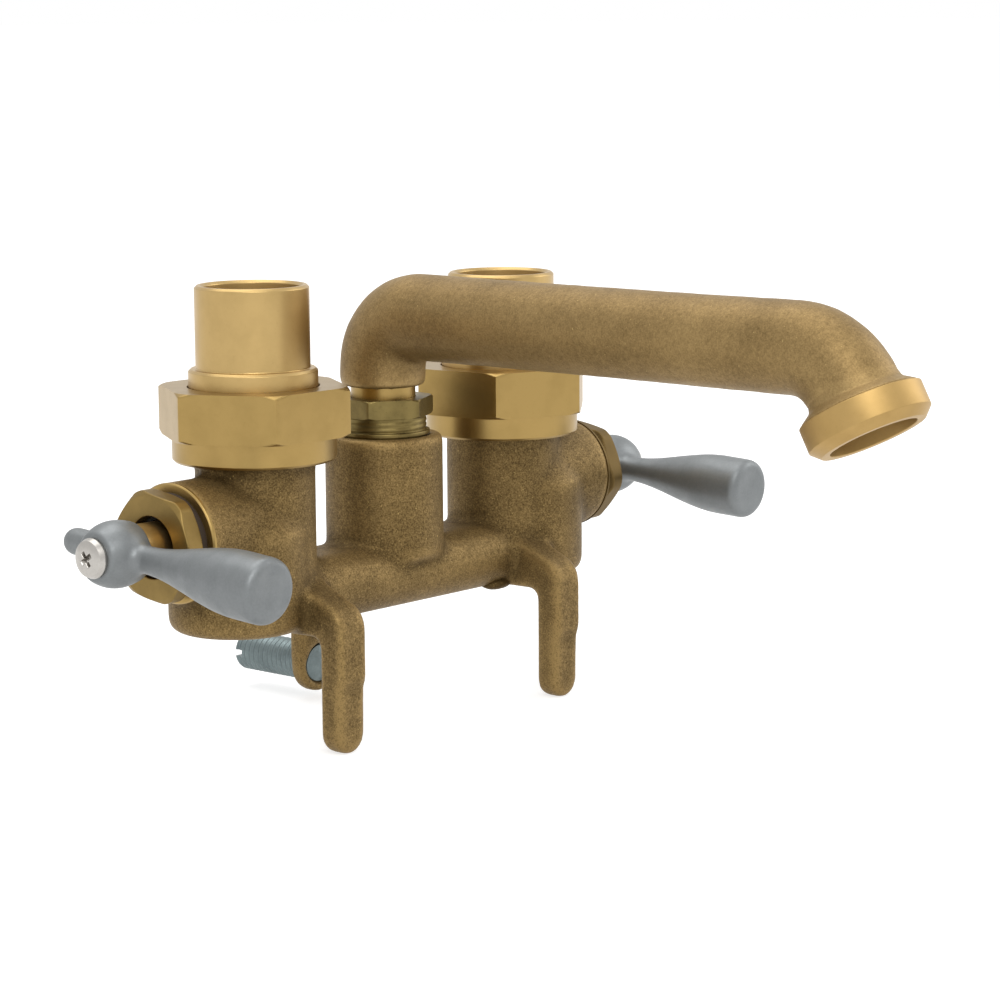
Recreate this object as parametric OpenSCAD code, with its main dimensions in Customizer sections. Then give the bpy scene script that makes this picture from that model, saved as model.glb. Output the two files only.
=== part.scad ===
// Utility sink faucet: a cast brass two-handle faucet that straddles the rim of a laundry tub.
// The origin is the middle of the rim seat, the flat underside of the bridge.
// +Z is up, the spout and the legs look to -Y, and the two valves lie on one line along X.

/* [Layout] */
// Distance between the two inlet axes
inlet_spacing = 85.7; // [80:0.1:102]
// Height of the valve line above the rim seat
valve_axis_z = 23.4; // [22:0.1:26]

/* [Body casting] */
// Height of the bridge between the two bodies
bridge_h = 15.4; // [15:0.1:18]
// Depth of the bridge, front to back
bridge_w = 24.6; // [19:0.1:28]
// Diameter of the centre post
post_d = 28; // [26:0.2:30]
// Height of the post top above the rim seat
post_top_z = 40.8; // [38:0.1:42]
// Height of the post's foot, which overhangs the bridge
post_foot_z = 12; // [9:0.1:14]
// Rounding of the post's top edge
post_edge_r = 0.8; // [0.3:0.1:1.5]
// Diameter of the inlet necks
neck_d = 27.4; // [26:0.2:29]
// Height of the neck tops above the rim seat
neck_top_z = 46.2; // [45:0.1:48]
// Height of the neck's foot, which overhangs the bridge
neck_foot_z = 13.2; // [9:0.1:14]
// Length of the threaded head on each neck
neck_head_h = 6.6; // [6:0.1:8]
// Diameter of the round valve chamber
chamber_d = 32; // [30:0.5:34]
// How far the chamber axis lies outboard of the inlet axis
chamber_offset = 6; // [4:0.5:8]
// Height of the chamber's underside above the rim seat
chamber_bottom_z = 1; // [0.5:0.1:5]
// Rounding of the chamber's lower edge
chamber_edge_r = 3; // [2:0.25:4]
// How much the chamber's radius draws in at its top
chamber_draw = 6; // [4:0.5:8]
// Height where the chamber starts to draw in below the neck
chamber_shoulder_z = 24; // [20:0.5:27]
// Diameter of the side boss that takes the bonnet
boss_d = 27.2; // [25:0.2:28]
// Distance from the inlet axis to the boss face
boss_reach = 26.25; // [26:0.05:32]
// Chamfer on the rim of the boss face
boss_chamfer = 0.6; // [0.3:0.1:1]

/* [Legs and ear] */
// Distance from the inlet axis inboard to the leg centre
leg_inset = 4.95; // [3:0.05:7]
// Width of the legs
leg_w = 8.9; // [7:0.1:11]
// Thickness of the legs at the bottom
leg_t = 6.4; // [5:0.2:8]
// Distance from the valve line to the back faces of the legs
leg_back_y = 18.6; // [17:0.2:22]
// Drop of the leg tips below the rim seat
leg_drop = 26.6; // [22:0.2:30]
// How much the upper leg stands out in front of the lower leg
leg_step = 0.7; // [0.3:0.1:1.2]
// Drop of the step below the rim seat
leg_step_drop = 10; // [8:0.5:14]
// Radius of the outer bend at the top of each leg
leg_bend_r = 6; // [4:0.5:7]
// Height of the leg arm at the body
leg_arm_h = 12.4; // [9:0.2:13]
// Distance from the valve line to where the leg arm's top starts to fall
leg_arm_y = 11; // [6:0.5:12]
// Fall of the leg arm's top from the body to the bend
leg_arm_fall = 4.4; // [2:0.2:5]
// Radius of the inner corner between the rim seat and a leg
leg_corner_r = 1.5; // [0.5:0.25:3]
// Distance from the valve line to the front face of the rear ear
ear_front_y = 21.2; // [18:0.2:30]
// Thickness of the rear ear
ear_t = 5; // [4:0.2:8]
// Width of the rear ear
ear_w = 14; // [13:0.5:18]
// Height of the arm that carries the ear
ear_arm_h = 9; // [7:0.5:12]

/* [Clamp screw] */
// Diameter of the clamp screw
clamp_d = 9.5; // [8:0.1:10]
// Length of the clamp screw
clamp_len = 25; // [20:0.5:40]
// Drop of the clamp screw's axis below the rim seat
clamp_drop = 18; // [15:0.2:22]
// How deep the screw's front end sits in the ear
clamp_recess = 1.1; // [0.5:0.1:3]
// Width of the screwdriver slot
clamp_slot_w = 1.6; // [1:0.1:2]
// Depth of the screwdriver slot
clamp_slot_h = 2.4; // [1.5:0.1:3]
// Diameter of the countersink at the front of the ear's hole
clamp_sink_d = 11; // [10.4:0.1:12]
// Chamfer on the ends of the clamp screw
clamp_chamfer = 0.8; // [0.4:0.1:1.2]

/* [Waterways] */
// Bore of the inlet necks
inlet_bore = 19; // [16:0.5:20]
// Diameter of the port from the neck into the chamber
inlet_port_d = 12; // [9:0.5:13]
// Bore of the chamber and the side boss
chamber_bore = 20; // [19:0.25:21]
// Distance from the inlet axis outboard to the chamber's inner wall
seat_wall_x = 0.15; // [0:0.05:1]
// Diameter of the channel through the bridge
channel_d = 9; // [7:0.5:10]
// Distance from the inlet axis inboard to the drop passage
drop_inset = 6.45; // [6:0.05:7]

/* [Valves] */
// Outer diameter of the seat's thread
seat_od = 13; // [12:0.25:14]
// Bore of the seat
seat_bore = 9; // [8.5:0.25:10]
// Length of the seat's thread
seat_len = 4; // [3:0.25:5]
// Diameter of the seat's lip
seat_lip_d = 15; // [14.5:0.25:17]
// Height of the seat's lip
seat_lip_h = 2.2; // [1.5:0.1:2.5]
// Diameter of the seat washer
washer_d = 13.5; // [12.5:0.25:14]
// Thickness of the seat washer
washer_t = 3.2; // [2.5:0.1:3.6]
// Head diameter of the washer screw
washer_screw_head_d = 7.5; // [6.5:0.25:8]
// Head height of the washer screw
washer_screw_head_h = 1.8; // [1.2:0.1:2.2]
// Thread diameter of the washer screw
washer_screw_d = 4; // [3:0.1:4.5]
// Length of the washer screw's thread inside the stem
washer_screw_grip = 6; // [4:0.5:8]
// Diameter of the stem's cup
stem_cup_d = 16.4; // [16:0.1:17]
// Thickness of the stem's head behind the washer
stem_head_h = 2.6; // [2:0.1:3]
// Diameter of the stem's thread
stem_thread_d = 13; // [12.5:0.1:14]
// Length of the stem's thread
stem_thread_len = 8; // [6:0.5:9]
// Diameter of the stem between head and thread
stem_neck_d = 10; // [9:0.25:11]
// Diameter of the stem's shank
stem_d = 11.4; // [10.5:0.1:12]
// Travel of the stem from closed to open
stem_travel = 2; // [1:0.25:2.5]

/* [Bonnets] */
// Hex size of the bonnet flange, across flats
bonnet_af = 23.6; // [22:0.2:25]
// Diameter of the chamfer circle on the bonnet flange
bonnet_round_d = 25.8; // [25:0.1:27]
// Thickness of the bonnet flange
bonnet_t = 4.6; // [4:0.1:6]
// Chamfer on the corners of the bonnet flange
bonnet_chamfer = 1.2; // [0.6:0.1:1.6]
// Diameter of the bonnet's mouth round the stem
bonnet_mouth_d = 14; // [14:0.1:15]
// Depth of the bonnet's mouth
bonnet_mouth_h = 5.2; // [4:0.1:6]
// Length of the bonnet sleeve inside the boss
bonnet_sleeve_len = 14.9; // [13:0.1:16]
// Outer diameter of the bonnet gasket
gasket_d = 23; // [22:0.25:24]
// Thickness of the bonnet gasket
gasket_t = 1.7; // [1:0.1:2.4]
// Thickness of the packing ring
packing_t = 2; // [1.5:0.1:2.5]

/* [Handles] */
// Gap between the bonnet face and the handle hub
handle_gap = 5.4; // [3:0.1:7]
// Length of the handle hub
hub_len = 11.2; // [11:0.1:13]
// Largest diameter of the handle hub
hub_d = 15; // [14:0.2:17]
// Diameter of the hub's inner face
hub_inner_d = 13.2; // [12:0.2:14]
// Diameter of the hub's outer face
hub_outer_d = 10.8; // [10:0.2:12]
// Distance from the hub's outer face to the lever axis
lever_back = 8; // [5:0.1:9]
// Length of the lever from the stem axis to its end
lever_len = 46.3; // [40:0.1:60]
// Diameter of the lever at its neck
lever_neck_d = 6.2; // [5.5:0.1:7.5]
// Distance from the stem axis to the start of the lever's flare
lever_flare_at = 8.6; // [7.6:0.2:15]
// Distance from the stem axis to the end of the lever's flare
lever_full_at = 37.5; // [30:0.5:37.5]
// Diameter of the lever at its end
lever_end_d = 14.7; // [12:0.1:16]
// Rounding of the lever's end edge
lever_edge_r = 2; // [1:0.1:2.5]
// Depth of the dish in the lever's end
lever_dish = 0.5; // [0.2:0.1:1]
// Slope of the left lever below level
left_lever_drop_deg = 4.1; // [0:0.1:10]
// Slope of the right lever below level
right_lever_drop_deg = 2.6; // [0:0.1:10]
// Diameter of the stub opposite the lever
stub_d = 6.2; // [5:0.1:7]
// Length of the stub from the stem axis
stub_len = 17.5; // [13:0.5:20]
// Diameter of the stem end in the handle
broach_d = 8.2; // [7.5:0.1:9]
// Length of the stem end in the handle
broach_len = 8; // [6:0.25:8.2]
// Head diameter of the handle screw
screw_head_d = 9; // [8:0.1:9.6]
// Head height of the handle screw
screw_head_h = 2.4; // [1.8:0.1:3]
// Depth of the cross recess in the handle screw
screw_recess_h = 1.3; // [0.8:0.1:1.6]
// Width of the cross recess in the handle screw
screw_recess_w = 1; // [0.6:0.1:1.4]
// Thread diameter of the handle screw
screw_d = 4; // [3.5:0.1:5]
// Length of the handle screw under the head
screw_len = 10; // [8:0.5:11]

/* [Unions] */
// Diameter of the union thread on the necks
union_thread_d = 33; // [32:0.1:33.6]
// Hex size of the union nuts, across flats
union_af = 39.5; // [38.5:0.1:41]
// Height of the hex on the union nuts
union_hex_h = 11.2; // [10:0.1:13]
// Diameter of the round skirt under the hex
union_skirt_d = 37.4; // [36.5:0.1:38]
// Height of the round skirt
union_skirt_h = 5.7; // [4:0.1:7]
// Thickness of the inward lip at the top of the nut
union_lip_t = 3; // [2.5:0.1:4]
// Chamfer on the hex corners
union_chamfer = 1.3; // [0.5:0.1:2]
// How far the left union is unscrewed
left_union_backoff = 2.9; // [0:0.1:3.4]
// Outer diameter of the tailpieces
tail_od = 26; // [25:0.1:27]
// Bore of the solder cups
tail_bore = 22.3; // [21:0.05:23]
// Depth of the solder cups
tail_cup_h = 19; // [16:0.5:20]
// Length of a tailpiece above its collar
tail_len = 18.8; // [15:0.2:30]
// Diameter of the tailpiece collar
tail_collar_d = 29.4; // [28.5:0.1:29.8]
// Height of the tailpiece collar above the nut
tail_collar_h = 4; // [2:0.1:6]
// Chamfer on the edges of the tailpiece
tail_edge = 0.6; // [0.3:0.1:0.8]
// Thickness of the tailpiece flange
tail_flange_t = 2.5; // [2:0.1:3]
// Thickness of the union gasket
union_gasket_t = 1.6; // [1:0.1:2]

/* [Spout] */
// Height of the spout arm's axis above the rim seat
arm_z = 69; // [67:0.2:80]
// Outer diameter of the spout arm
arm_d = 20.3; // [19:0.1:21]
// Diameter of the arm at its waist
arm_waist_d = 20; // [18.6:0.1:20.6]
// Radius of the elbow over the post
elbow_r = 12.5; // [11.6:0.1:14]
// Distance from the post axis to the start of the end bend
arm_reach = 120; // [90:1:200]
// Radius of the end bend
end_bend_r = 16.6; // [11.6:0.1:20]
// Angle of the end bend
end_bend_deg = 61.5; // [45:0.5:80]
// Height of the spout's lower edge above the post top
spout_lift = 11; // [10.4:0.1:13]
// Rounding of the spout's lower edge
spout_edge_r = 2; // [1:0.1:3]
// Bore of the spout arm
arm_bore = 14.5; // [12:0.25:16]
// Diameter of the spout shank
shank_d = 15.3; // [14.5:0.1:16]
// Bore of the spout shank
shank_bore = 9; // [7:0.25:9.5]
// Depth of the shank below the post top
shank_depth = 27; // [26:0.25:28]
// How deep the shank is screwed into the spout's foot
shank_grip = 4; // [3:0.25:4.5]
// Diameter of the outlet collar
collar_d = 27.4; // [25:0.1:29]
// Length of the collar's plain neck under the end bend
collar_neck_h = 0.3; // [0.2:0.1:4]
// Height of the straight band on the outlet collar
collar_band_h = 5.5; // [3:0.1:8]
// Height of the cone above the band
collar_cone_h = 2.2; // [0.8:0.1:4]
// Chamfer under the band
collar_chamfer = 2; // [1:0.1:2.4]
// Bore of the outlet
outlet_bore = 19.6; // [18:0.1:20.4]
// Depth of the outlet bore
outlet_bore_h = 7; // [4:0.25:9]
// How far the collar's neck stands out from the arm
outlet_step = 0.35; // [0.3:0.05:0.6]
// Diameter of the collar's spigot inside the arm
spigot_d = 16.4; // [16:0.1:17]
// Length of the collar's spigot
spigot_len = 2.8; // [2:0.1:3]
// Bore of the collar's spigot
spigot_bore = 14; // [12:0.25:14.25]

/* [Spout gland] */
// Hex size of the gland nut, across flats
gland_af = 21.2; // [20.8:0.1:24]
// Height of the gland nut's hex
gland_hex_h = 4.4; // [3.5:0.1:6]
// Chamfer on the corners of the gland nut
gland_chamfer = 0.7; // [0.4:0.1:1]
// Height of the hex above the post top
gland_rise = 4.4; // [4:0.1:6]
// Diameter of the gland thread
gland_thread_d = 20.4; // [19.5:0.1:20.6]
// Length of the gland thread inside the post
gland_grip = 11.2; // [8:0.2:12]
// Diameter of the gland nut's seat flange
gland_flange_d = 22; // [21.4:0.1:24]
// Thickness of the gland nut's seat flange
gland_flange_t = 1; // [0.6:0.1:1.6]
// Depth of the shelf in the post that carries the spout
gland_shelf_depth = 15.2; // [14.6:0.1:16]
// Thickness of the retaining ring
ring_t = 1.4; // [1:0.1:1.8]
// Diameter of the retaining ring
ring_d = 19.2; // [18:0.1:19.4]
// Depth of the ring's groove in the shank
ring_groove = 1; // [0.6:0.1:1.2]
// Cord diameter of the O-ring
o_ring_t = 2.2; // [1.8:0.1:2.4]
// Depth of the O-ring below the post top
o_ring_depth = 21; // [20.5:0.1:22]

/* [Clearances] */
// Radial play of running fits
running_play = 0.05; // [0.02:0.01:0.1]
// Radial play of screwed joints
thread_play = 0.1; // [0.05:0.01:0.15]
// Gap between faces that part or slide
face_gap = 0.2; // [0.1:0.05:0.3]
// Gap between a ring and a round face that moves past it
ring_gap = 0.3; // [0.2:0.05:0.4]

/* [Hidden] */
$fn = 96;

LEFT = -1;
RIGHT = 1;
// Turn of each hex about its axis, as the nuts were left after tightening
LEFT_UNION_TURN = 2;
RIGHT_UNION_TURN = 37.5;
GLAND_TURN = 26.6;
BONNET_TURN = 40;
// Turns of the two slots that make a screw's cross recess
RECESS_TURNS = [35, 125];
// Slope of the turned corners on a hex
HEX_CHAMFER_DEG = 30;
// Turn of the outer bend at the top of a leg
LEG_BEND_DEG = 66;
// Angle at which a lever's flare runs into its rounded end
LEVER_EDGE_DEG = 10;
// Place of the hub's largest diameter, as a share of its length
HUB_PEAK = 0.45;
// Share of the O-ring's cord that lies inside the shank's surface
O_RING_SINK = 0.75;
// Steps along a lever's curved outline
LEVER_STEPS = 14;
// Steps round a small rounded edge
EDGE_STEPS = 6;
// Overlap of joined shapes and overrun of cuts
JOIN = 1;

CAST = [0.50, 0.38, 0.20];
TURNED = [0.80, 0.66, 0.38];
DARK_BRASS = [0.38, 0.33, 0.18];
GREY_METAL = [0.62, 0.65, 0.68];
STAINLESS = [0.72, 0.70, 0.66];
ZINC = [0.55, 0.66, 0.74];
RUBBER = [0.12, 0.12, 0.12];
FIBRE = [0.45, 0.30, 0.22];

inlet_x = inlet_spacing / 2;
chamber_x = inlet_x + chamber_offset;
boss_face_x = inlet_x + boss_reach;
leg_x = inlet_x - leg_inset;
drop_x = inlet_x - drop_inset;
wall_x = inlet_x + seat_wall_x;
channel_z = bridge_h / 2;

// Stations along a valve, measured outwards from the middle of the faucet
seat_face_x = wall_x + seat_lip_h;
washer_x = seat_face_x + face_gap;
stem_face_x = washer_x + washer_t + face_gap;
bonnet_back_x = boss_face_x + gasket_t;
bonnet_face_x = bonnet_back_x + bonnet_t;
mouth_floor_x = bonnet_face_x - bonnet_mouth_h;
sleeve_end_x = bonnet_back_x - bonnet_sleeve_len;
stem_thread_x = sleeve_end_x + JOIN;
stem_thread_end_x = stem_thread_x + stem_thread_len;
hub_x = bonnet_face_x + handle_gap;
hub_face_x = hub_x + hub_len;
lever_x = hub_face_x - lever_back;
inlet_port_x = seat_face_x + inlet_port_d / 2 - JOIN;

// Heights in a union, measured up from the skirt of its nut
nut_h = union_skirt_h + union_hex_h;
nut_shelf = nut_h - union_lip_t;
flange_z = nut_shelf - thread_play - tail_flange_t;
gasket_z = flange_z - union_gasket_t;
nut_foot_z = neck_top_z - gasket_z;

// The end bend and the outlet, in the plane of the spout
bend_z = arm_z - end_bend_r;
outlet_dir = [-cos(end_bend_deg), -sin(end_bend_deg)];
bend_end = [-arm_reach - end_bend_r * sin(end_bend_deg), bend_z + end_bend_r * cos(end_bend_deg)];
spout_foot_z = post_top_z + spout_lift;
shelf_z = post_top_z - gland_shelf_depth;
ring_z = shelf_z + face_gap;
gland_foot_z = post_top_z - gland_grip;
o_ring_z = post_top_z - o_ring_depth;
o_ring_r = shank_d / 2 + o_ring_t / 2 - O_RING_SINK * o_ring_t;
seal_bore = 2 * (o_ring_r + o_ring_t / 2 + ring_gap);
shank_foot_z = post_top_z - shank_depth;
shank_top_z = spout_foot_z + shank_grip;
clamp_tip_y = ear_front_y + clamp_recess;

// Points on an arc about a centre, from angle a to angle b
function arc(centre, r, a, b, steps = EDGE_STEPS) =
    [for (i = [0 : steps]) centre + r * [cos(a + (b - a) * i / steps), sin(a + (b - a) * i / steps)]];

// Smooth rise from 0 to 1
function ease(t) = t * t * (3 - 2 * t);

// Puts a right-hand piece on either side of the faucet
module on_side(side) {
    mirror([side == LEFT ? 1 : 0, 0, 0]) children();
}

// Cylinder along +X from one station to another, on the valve line
module valve_rod(x0, x1, d) {
    translate([x0, 0, valve_axis_z])
        rotate([0, 90, 0])
            cylinder(d = d, h = x1 - x0);
}

// Solid of revolution about the valve line, from [radius, station] points
module valve_turning(points) {
    translate([0, 0, valve_axis_z])
        rotate([0, 90, 0])
            rotate_extrude()
                polygon(points);
}

// Upright cylinder from one height to another
module upright(x, z0, z1, d) {
    translate([x, 0, z0])
        cylinder(d = d, h = z1 - z0);
}

// Hex prism with its corners turned off at both ends
module turned_hex(af, h, round_d, chamfer, turn) {
    corner_r = af / sqrt(3);
    end_r = min(round_d / 2, corner_r) - chamfer;
    rise = chamfer * tan(HEX_CHAMFER_DEG);
    intersection() {
        rotate(turn)
            cylinder(r = corner_r, h = h, $fn = 6);
        rotate_extrude()
            polygon([
                [0, 0], [end_r, 0], [end_r + chamfer, rise],
                [end_r + chamfer, h - rise], [end_r, h], [0, h]
            ]);
    }
}

// Section of the bridge: round in front and behind, flat above and below
module bridge_section() {
    r = bridge_h / 2;
    flat_w = bridge_w - bridge_h;
    for (y = [-flat_w / 2, flat_w / 2])
        translate([y, r])
            circle(r = r);
    translate([-flat_w / 2, 0])
        square([flat_w, bridge_h]);
}

// Bridge between the two bodies; its flat underside is the rim seat
module bridge_form() {
    translate([-leg_x, 0, 0])
        rotate([90, 0, 90])
            linear_extrude(2 * leg_x)
                bridge_section();
}

module post_form() {
    r = post_d / 2;
    rotate_extrude()
        polygon(concat(
            [[0, post_foot_z], [r, post_foot_z]],
            arc([r - post_edge_r, post_top_z - post_edge_r], post_edge_r, 0, 90),
            [[0, post_top_z]]
        ));
}

// Inlet neck with its threaded head
module neck_form() {
    head_z = neck_top_z - neck_head_h;
    upright(inlet_x, neck_foot_z, neck_top_z, neck_d);
    upright(inlet_x, head_z, neck_top_z, union_thread_d);
}

// Round valve chamber, with a rounded lower edge and a drawn-in top
module chamber_form() {
    r = chamber_d / 2;
    e = chamber_edge_r;
    top_z = valve_axis_z + chamber_bore / 2;
    translate([chamber_x, 0, 0])
        rotate_extrude()
            polygon(concat(
                [[0, chamber_bottom_z]],
                arc([r - e, chamber_bottom_z + e], e, 270, 360),
                [[r, chamber_shoulder_z], [r - chamber_draw, top_z], [0, top_z]]
            ));
}

// Side boss with a chamfered rim
module boss_form() {
    r = boss_d / 2;
    valve_turning([
        [0, inlet_x], [r, inlet_x], [r, boss_face_x - boss_chamfer],
        [r - boss_chamfer, boss_face_x], [0, boss_face_x]
    ]);
}

// Side outline of a front leg and its arm, as [distance in front of the valve line, height]
function leg_outline() =
    let (front = leg_back_y + leg_t)
    let (upper = front + leg_step)
    let (bend_top = leg_arm_h - leg_arm_fall)
    let (bend_centre = [upper - leg_bend_r, bend_top - leg_bend_r])
    concat(
        [[0, 0]],
        arc([leg_back_y - leg_corner_r, -leg_corner_r], leg_corner_r, 90, 0),
        [[leg_back_y, -leg_drop], [front - leg_step / 2, -leg_drop]],
        [[front, -leg_step_drop - leg_step], [upper, -leg_step_drop]],
        arc(bend_centre, leg_bend_r, 0, LEG_BEND_DEG),
        [[leg_arm_y, leg_arm_h], [0, leg_arm_h]]
    );

// Front outline of a leg: straight sides and a round tip
module leg_front_view() {
    translate([0, -leg_drop + leg_w / 2])
        circle(d = leg_w);
    translate([-leg_w / 2, -leg_drop + leg_w / 2])
        square([leg_w, leg_drop + leg_arm_h]);
}

module leg_form() {
    intersection() {
        translate([leg_x + leg_w / 2, 0, 0])
            rotate([90, 0, -90])
                linear_extrude(leg_w)
                    polygon(leg_outline());
        translate([leg_x, 0, 0])
            rotate([90, 0, 0])
                linear_extrude(leg_back_y + leg_t + 2 * leg_step)
                    leg_front_view();
    }
}

// Side outline of the rear ear and its arm, as [distance behind the valve line, height]
function ear_outline() =
    let (back = ear_front_y + ear_t)
    let (bend_r = ear_t)
    concat(
        [[0, 0]],
        arc([ear_front_y - leg_corner_r, -leg_corner_r], leg_corner_r, 90, 0),
        [[ear_front_y, -clamp_drop - ear_w / 2], [back, -clamp_drop - ear_w / 2]],
        arc([back - bend_r, ear_arm_h - bend_r], bend_r, 0, 90),
        [[0, ear_arm_h]]
    );

module ear_form() {
    intersection() {
        translate([-ear_w / 2, 0, 0])
            rotate([90, 0, 90])
                linear_extrude(ear_w)
                    polygon(ear_outline());
        rotate([90, 0, 180])
            linear_extrude(ear_front_y + ear_t) {
                translate([0, -clamp_drop])
                    circle(d = ear_w);
                translate([-ear_w / 2, -clamp_drop])
                    square([ear_w, clamp_drop + ear_arm_h]);
            }
    }
}

// Tapped hole of the ear, countersunk in front
module ear_hole() {
    sink = (clamp_sink_d - clamp_d) / 2;
    hole_r = clamp_d / 2 + running_play;
    end = ear_t + JOIN;
    translate([0, ear_front_y, -clamp_drop])
        rotate([-90, 0, 0])
            rotate_extrude()
                polygon([
                    [0, -JOIN], [clamp_sink_d / 2, -JOIN], [clamp_sink_d / 2, 0],
                    [hole_r, sink], [hole_r, end], [0, end]
                ]);
}

// Passages of one valve: neck, port, chamber, seat hole and drop to the bridge
module valve_waterway() {
    upright(inlet_x, valve_axis_z + chamber_bore / 2, neck_top_z + JOIN, inlet_bore);
    upright(inlet_port_x, valve_axis_z, valve_axis_z + chamber_bore / 2 + JOIN, inlet_port_d);
    valve_rod(wall_x, boss_face_x + JOIN, chamber_bore);
    valve_rod(drop_x, wall_x + JOIN, seat_od);
    upright(drop_x, channel_z, valve_axis_z, channel_d);
}

// Bores of the post and the channel through the bridge
module mixing_waterway() {
    upright(0, channel_z, shelf_z + JOIN, seal_bore);
    upright(0, shelf_z, post_top_z + JOIN, gland_thread_d + 2 * thread_play);
    translate([0, 0, channel_z])
        rotate([0, 90, 0])
            cylinder(d = channel_d, h = 2 * drop_x, center = true);
    for (x = [-drop_x, drop_x])
        translate([x, 0, channel_z])
            sphere(d = channel_d);
}

module body_casting() {
    color(CAST)
        difference() {
            union() {
                bridge_form();
                post_form();
                ear_form();
                for (side = [LEFT, RIGHT])
                    on_side(side) {
                        neck_form();
                        chamber_form();
                        boss_form();
                        leg_form();
                    }
            }
            mixing_waterway();
            ear_hole();
            for (side = [LEFT, RIGHT])
                on_side(side)
                    valve_waterway();
        }
}

module valve_seat(side) {
    r = seat_od / 2 - thread_play;
    color(TURNED)
        on_side(side)
            valve_turning([
                [seat_bore / 2, wall_x - seat_len], [r, wall_x - seat_len], [r, wall_x],
                [seat_lip_d / 2, wall_x], [seat_lip_d / 2, seat_face_x - seat_lip_h / 2],
                [seat_bore / 2 + seat_lip_h / 2, seat_face_x], [seat_bore / 2, seat_face_x]
            ]);
}

module seat_washer(side) {
    hole_r = washer_screw_d / 2 + ring_gap;
    color(RUBBER)
        on_side(side)
            valve_turning([
                [hole_r, washer_x], [washer_d / 2, washer_x],
                [washer_d / 2, washer_x + washer_t], [hole_r, washer_x + washer_t]
            ]);
}

module washer_screw(side) {
    head_end = washer_x - face_gap / 2;
    color(TURNED)
        on_side(side) {
            valve_rod(head_end - washer_screw_head_h, head_end, washer_screw_head_d);
            valve_rod(head_end - face_gap, stem_face_x + washer_screw_grip, washer_screw_d);
        }
}

// Valve stem: cup for the washer, neck, thread, shank and the end that drives the handle
module stem(side) {
    cup_r = stem_cup_d / 2;
    cup_bore_r = washer_d / 2 + ring_gap;
    lip_x = stem_face_x - washer_t / 2;
    head_end = stem_face_x + stem_head_h;
    thread_r = stem_thread_d / 2 - running_play;
    color(TURNED)
        on_side(side)
            difference() {
                valve_turning([
                    [0, stem_face_x], [cup_bore_r, stem_face_x], [cup_bore_r, lip_x],
                    [cup_r, lip_x], [cup_r, head_end], [stem_neck_d / 2, head_end],
                    [stem_neck_d / 2, stem_thread_x], [thread_r, stem_thread_x],
                    [thread_r, stem_thread_end_x], [stem_d / 2, stem_thread_end_x],
                    [stem_d / 2, hub_x], [broach_d / 2, hub_x],
                    [broach_d / 2, hub_x + broach_len], [0, hub_x + broach_len]
                ]);
                valve_rod(stem_face_x - JOIN, stem_face_x + washer_screw_grip + JOIN,
                    washer_screw_d + 2 * running_play);
                valve_rod(hub_face_x - screw_len - JOIN, hub_face_x, screw_d + 2 * running_play);
            }
}

// Bonnet: hex flange outside, threaded sleeve inside the boss, bored for the stem
module bonnet(side) {
    sleeve_d = chamber_bore - 2 * thread_play;
    thread_end = stem_thread_end_x + stem_travel + JOIN;
    color(TURNED)
        on_side(side)
            difference() {
                union() {
                    translate([bonnet_back_x, 0, valve_axis_z])
                        rotate([0, 90, 0])
                            turned_hex(bonnet_af, bonnet_t, bonnet_round_d, bonnet_chamfer, BONNET_TURN);
                    valve_rod(sleeve_end_x, bonnet_back_x + JOIN, sleeve_d);
                }
                valve_rod(sleeve_end_x - JOIN, thread_end, stem_thread_d);
                valve_rod(thread_end - JOIN, bonnet_face_x, stem_d + 2 * running_play);
                valve_rod(mouth_floor_x, bonnet_face_x + JOIN, bonnet_mouth_d);
            }
}

module bonnet_gasket(side) {
    hole_r = chamber_bore / 2 + thread_play;
    color(FIBRE)
        on_side(side)
            valve_turning([
                [hole_r, boss_face_x], [gasket_d / 2, boss_face_x],
                [gasket_d / 2, bonnet_back_x], [hole_r, bonnet_back_x]
            ]);
}

module packing(side) {
    inner_r = stem_d / 2 + ring_gap;
    outer_r = bonnet_mouth_d / 2 - running_play;
    color(RUBBER)
        on_side(side)
            valve_turning([
                [inner_r, mouth_floor_x], [outer_r, mouth_floor_x],
                [outer_r, mouth_floor_x + packing_t], [inner_r, mouth_floor_x + packing_t]
            ]);
}

// Lever and stub as one turned form along +Z: thin at the neck, flared to a dished end
module lever_turning() {
    neck_r = lever_neck_d / 2;
    end_r = lever_end_d / 2;
    neck_z = lever_flare_at;
    flare_z = lever_len - lever_edge_r;
    rotate_extrude()
        polygon(concat(
            [[0, 0], [neck_r, 0]],
            [for (i = [0 : LEVER_STEPS])
                let (t = i / LEVER_STEPS)
                [neck_r + (end_r - neck_r) * ease(t), neck_z + (lever_full_at - neck_z) * t]],
            arc([end_r - lever_edge_r, flare_z], lever_edge_r, LEVER_EDGE_DEG, 90),
            [[0, lever_len - lever_dish]]
        ));
    rotate([180, 0, 0]) {
        cylinder(d = stub_d, h = stub_len - stub_d / 2);
        translate([0, 0, stub_len - stub_d / 2])
            sphere(d = stub_d);
    }
}

// Handle hub: a barrel about the stem axis, drawn in to a flat seat for the screw
module hub_form() {
    r = hub_d / 2;
    valve_turning(concat(
        [[0, hub_x], [hub_inner_d / 2, hub_x]],
        [for (i = [1 : LEVER_STEPS])
            let (t = i / LEVER_STEPS)
            let (rise = hub_inner_d / 2 + (r - hub_inner_d / 2) * sin(min(1, t / HUB_PEAK) * 90))
            let (fall = (r - hub_outer_d / 2) * pow(max(0, (t - HUB_PEAK) / (1 - HUB_PEAK)), 2))
            [rise - fall, hub_x + hub_len * t]],
        [[0, hub_face_x]]
    ));
}

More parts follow.
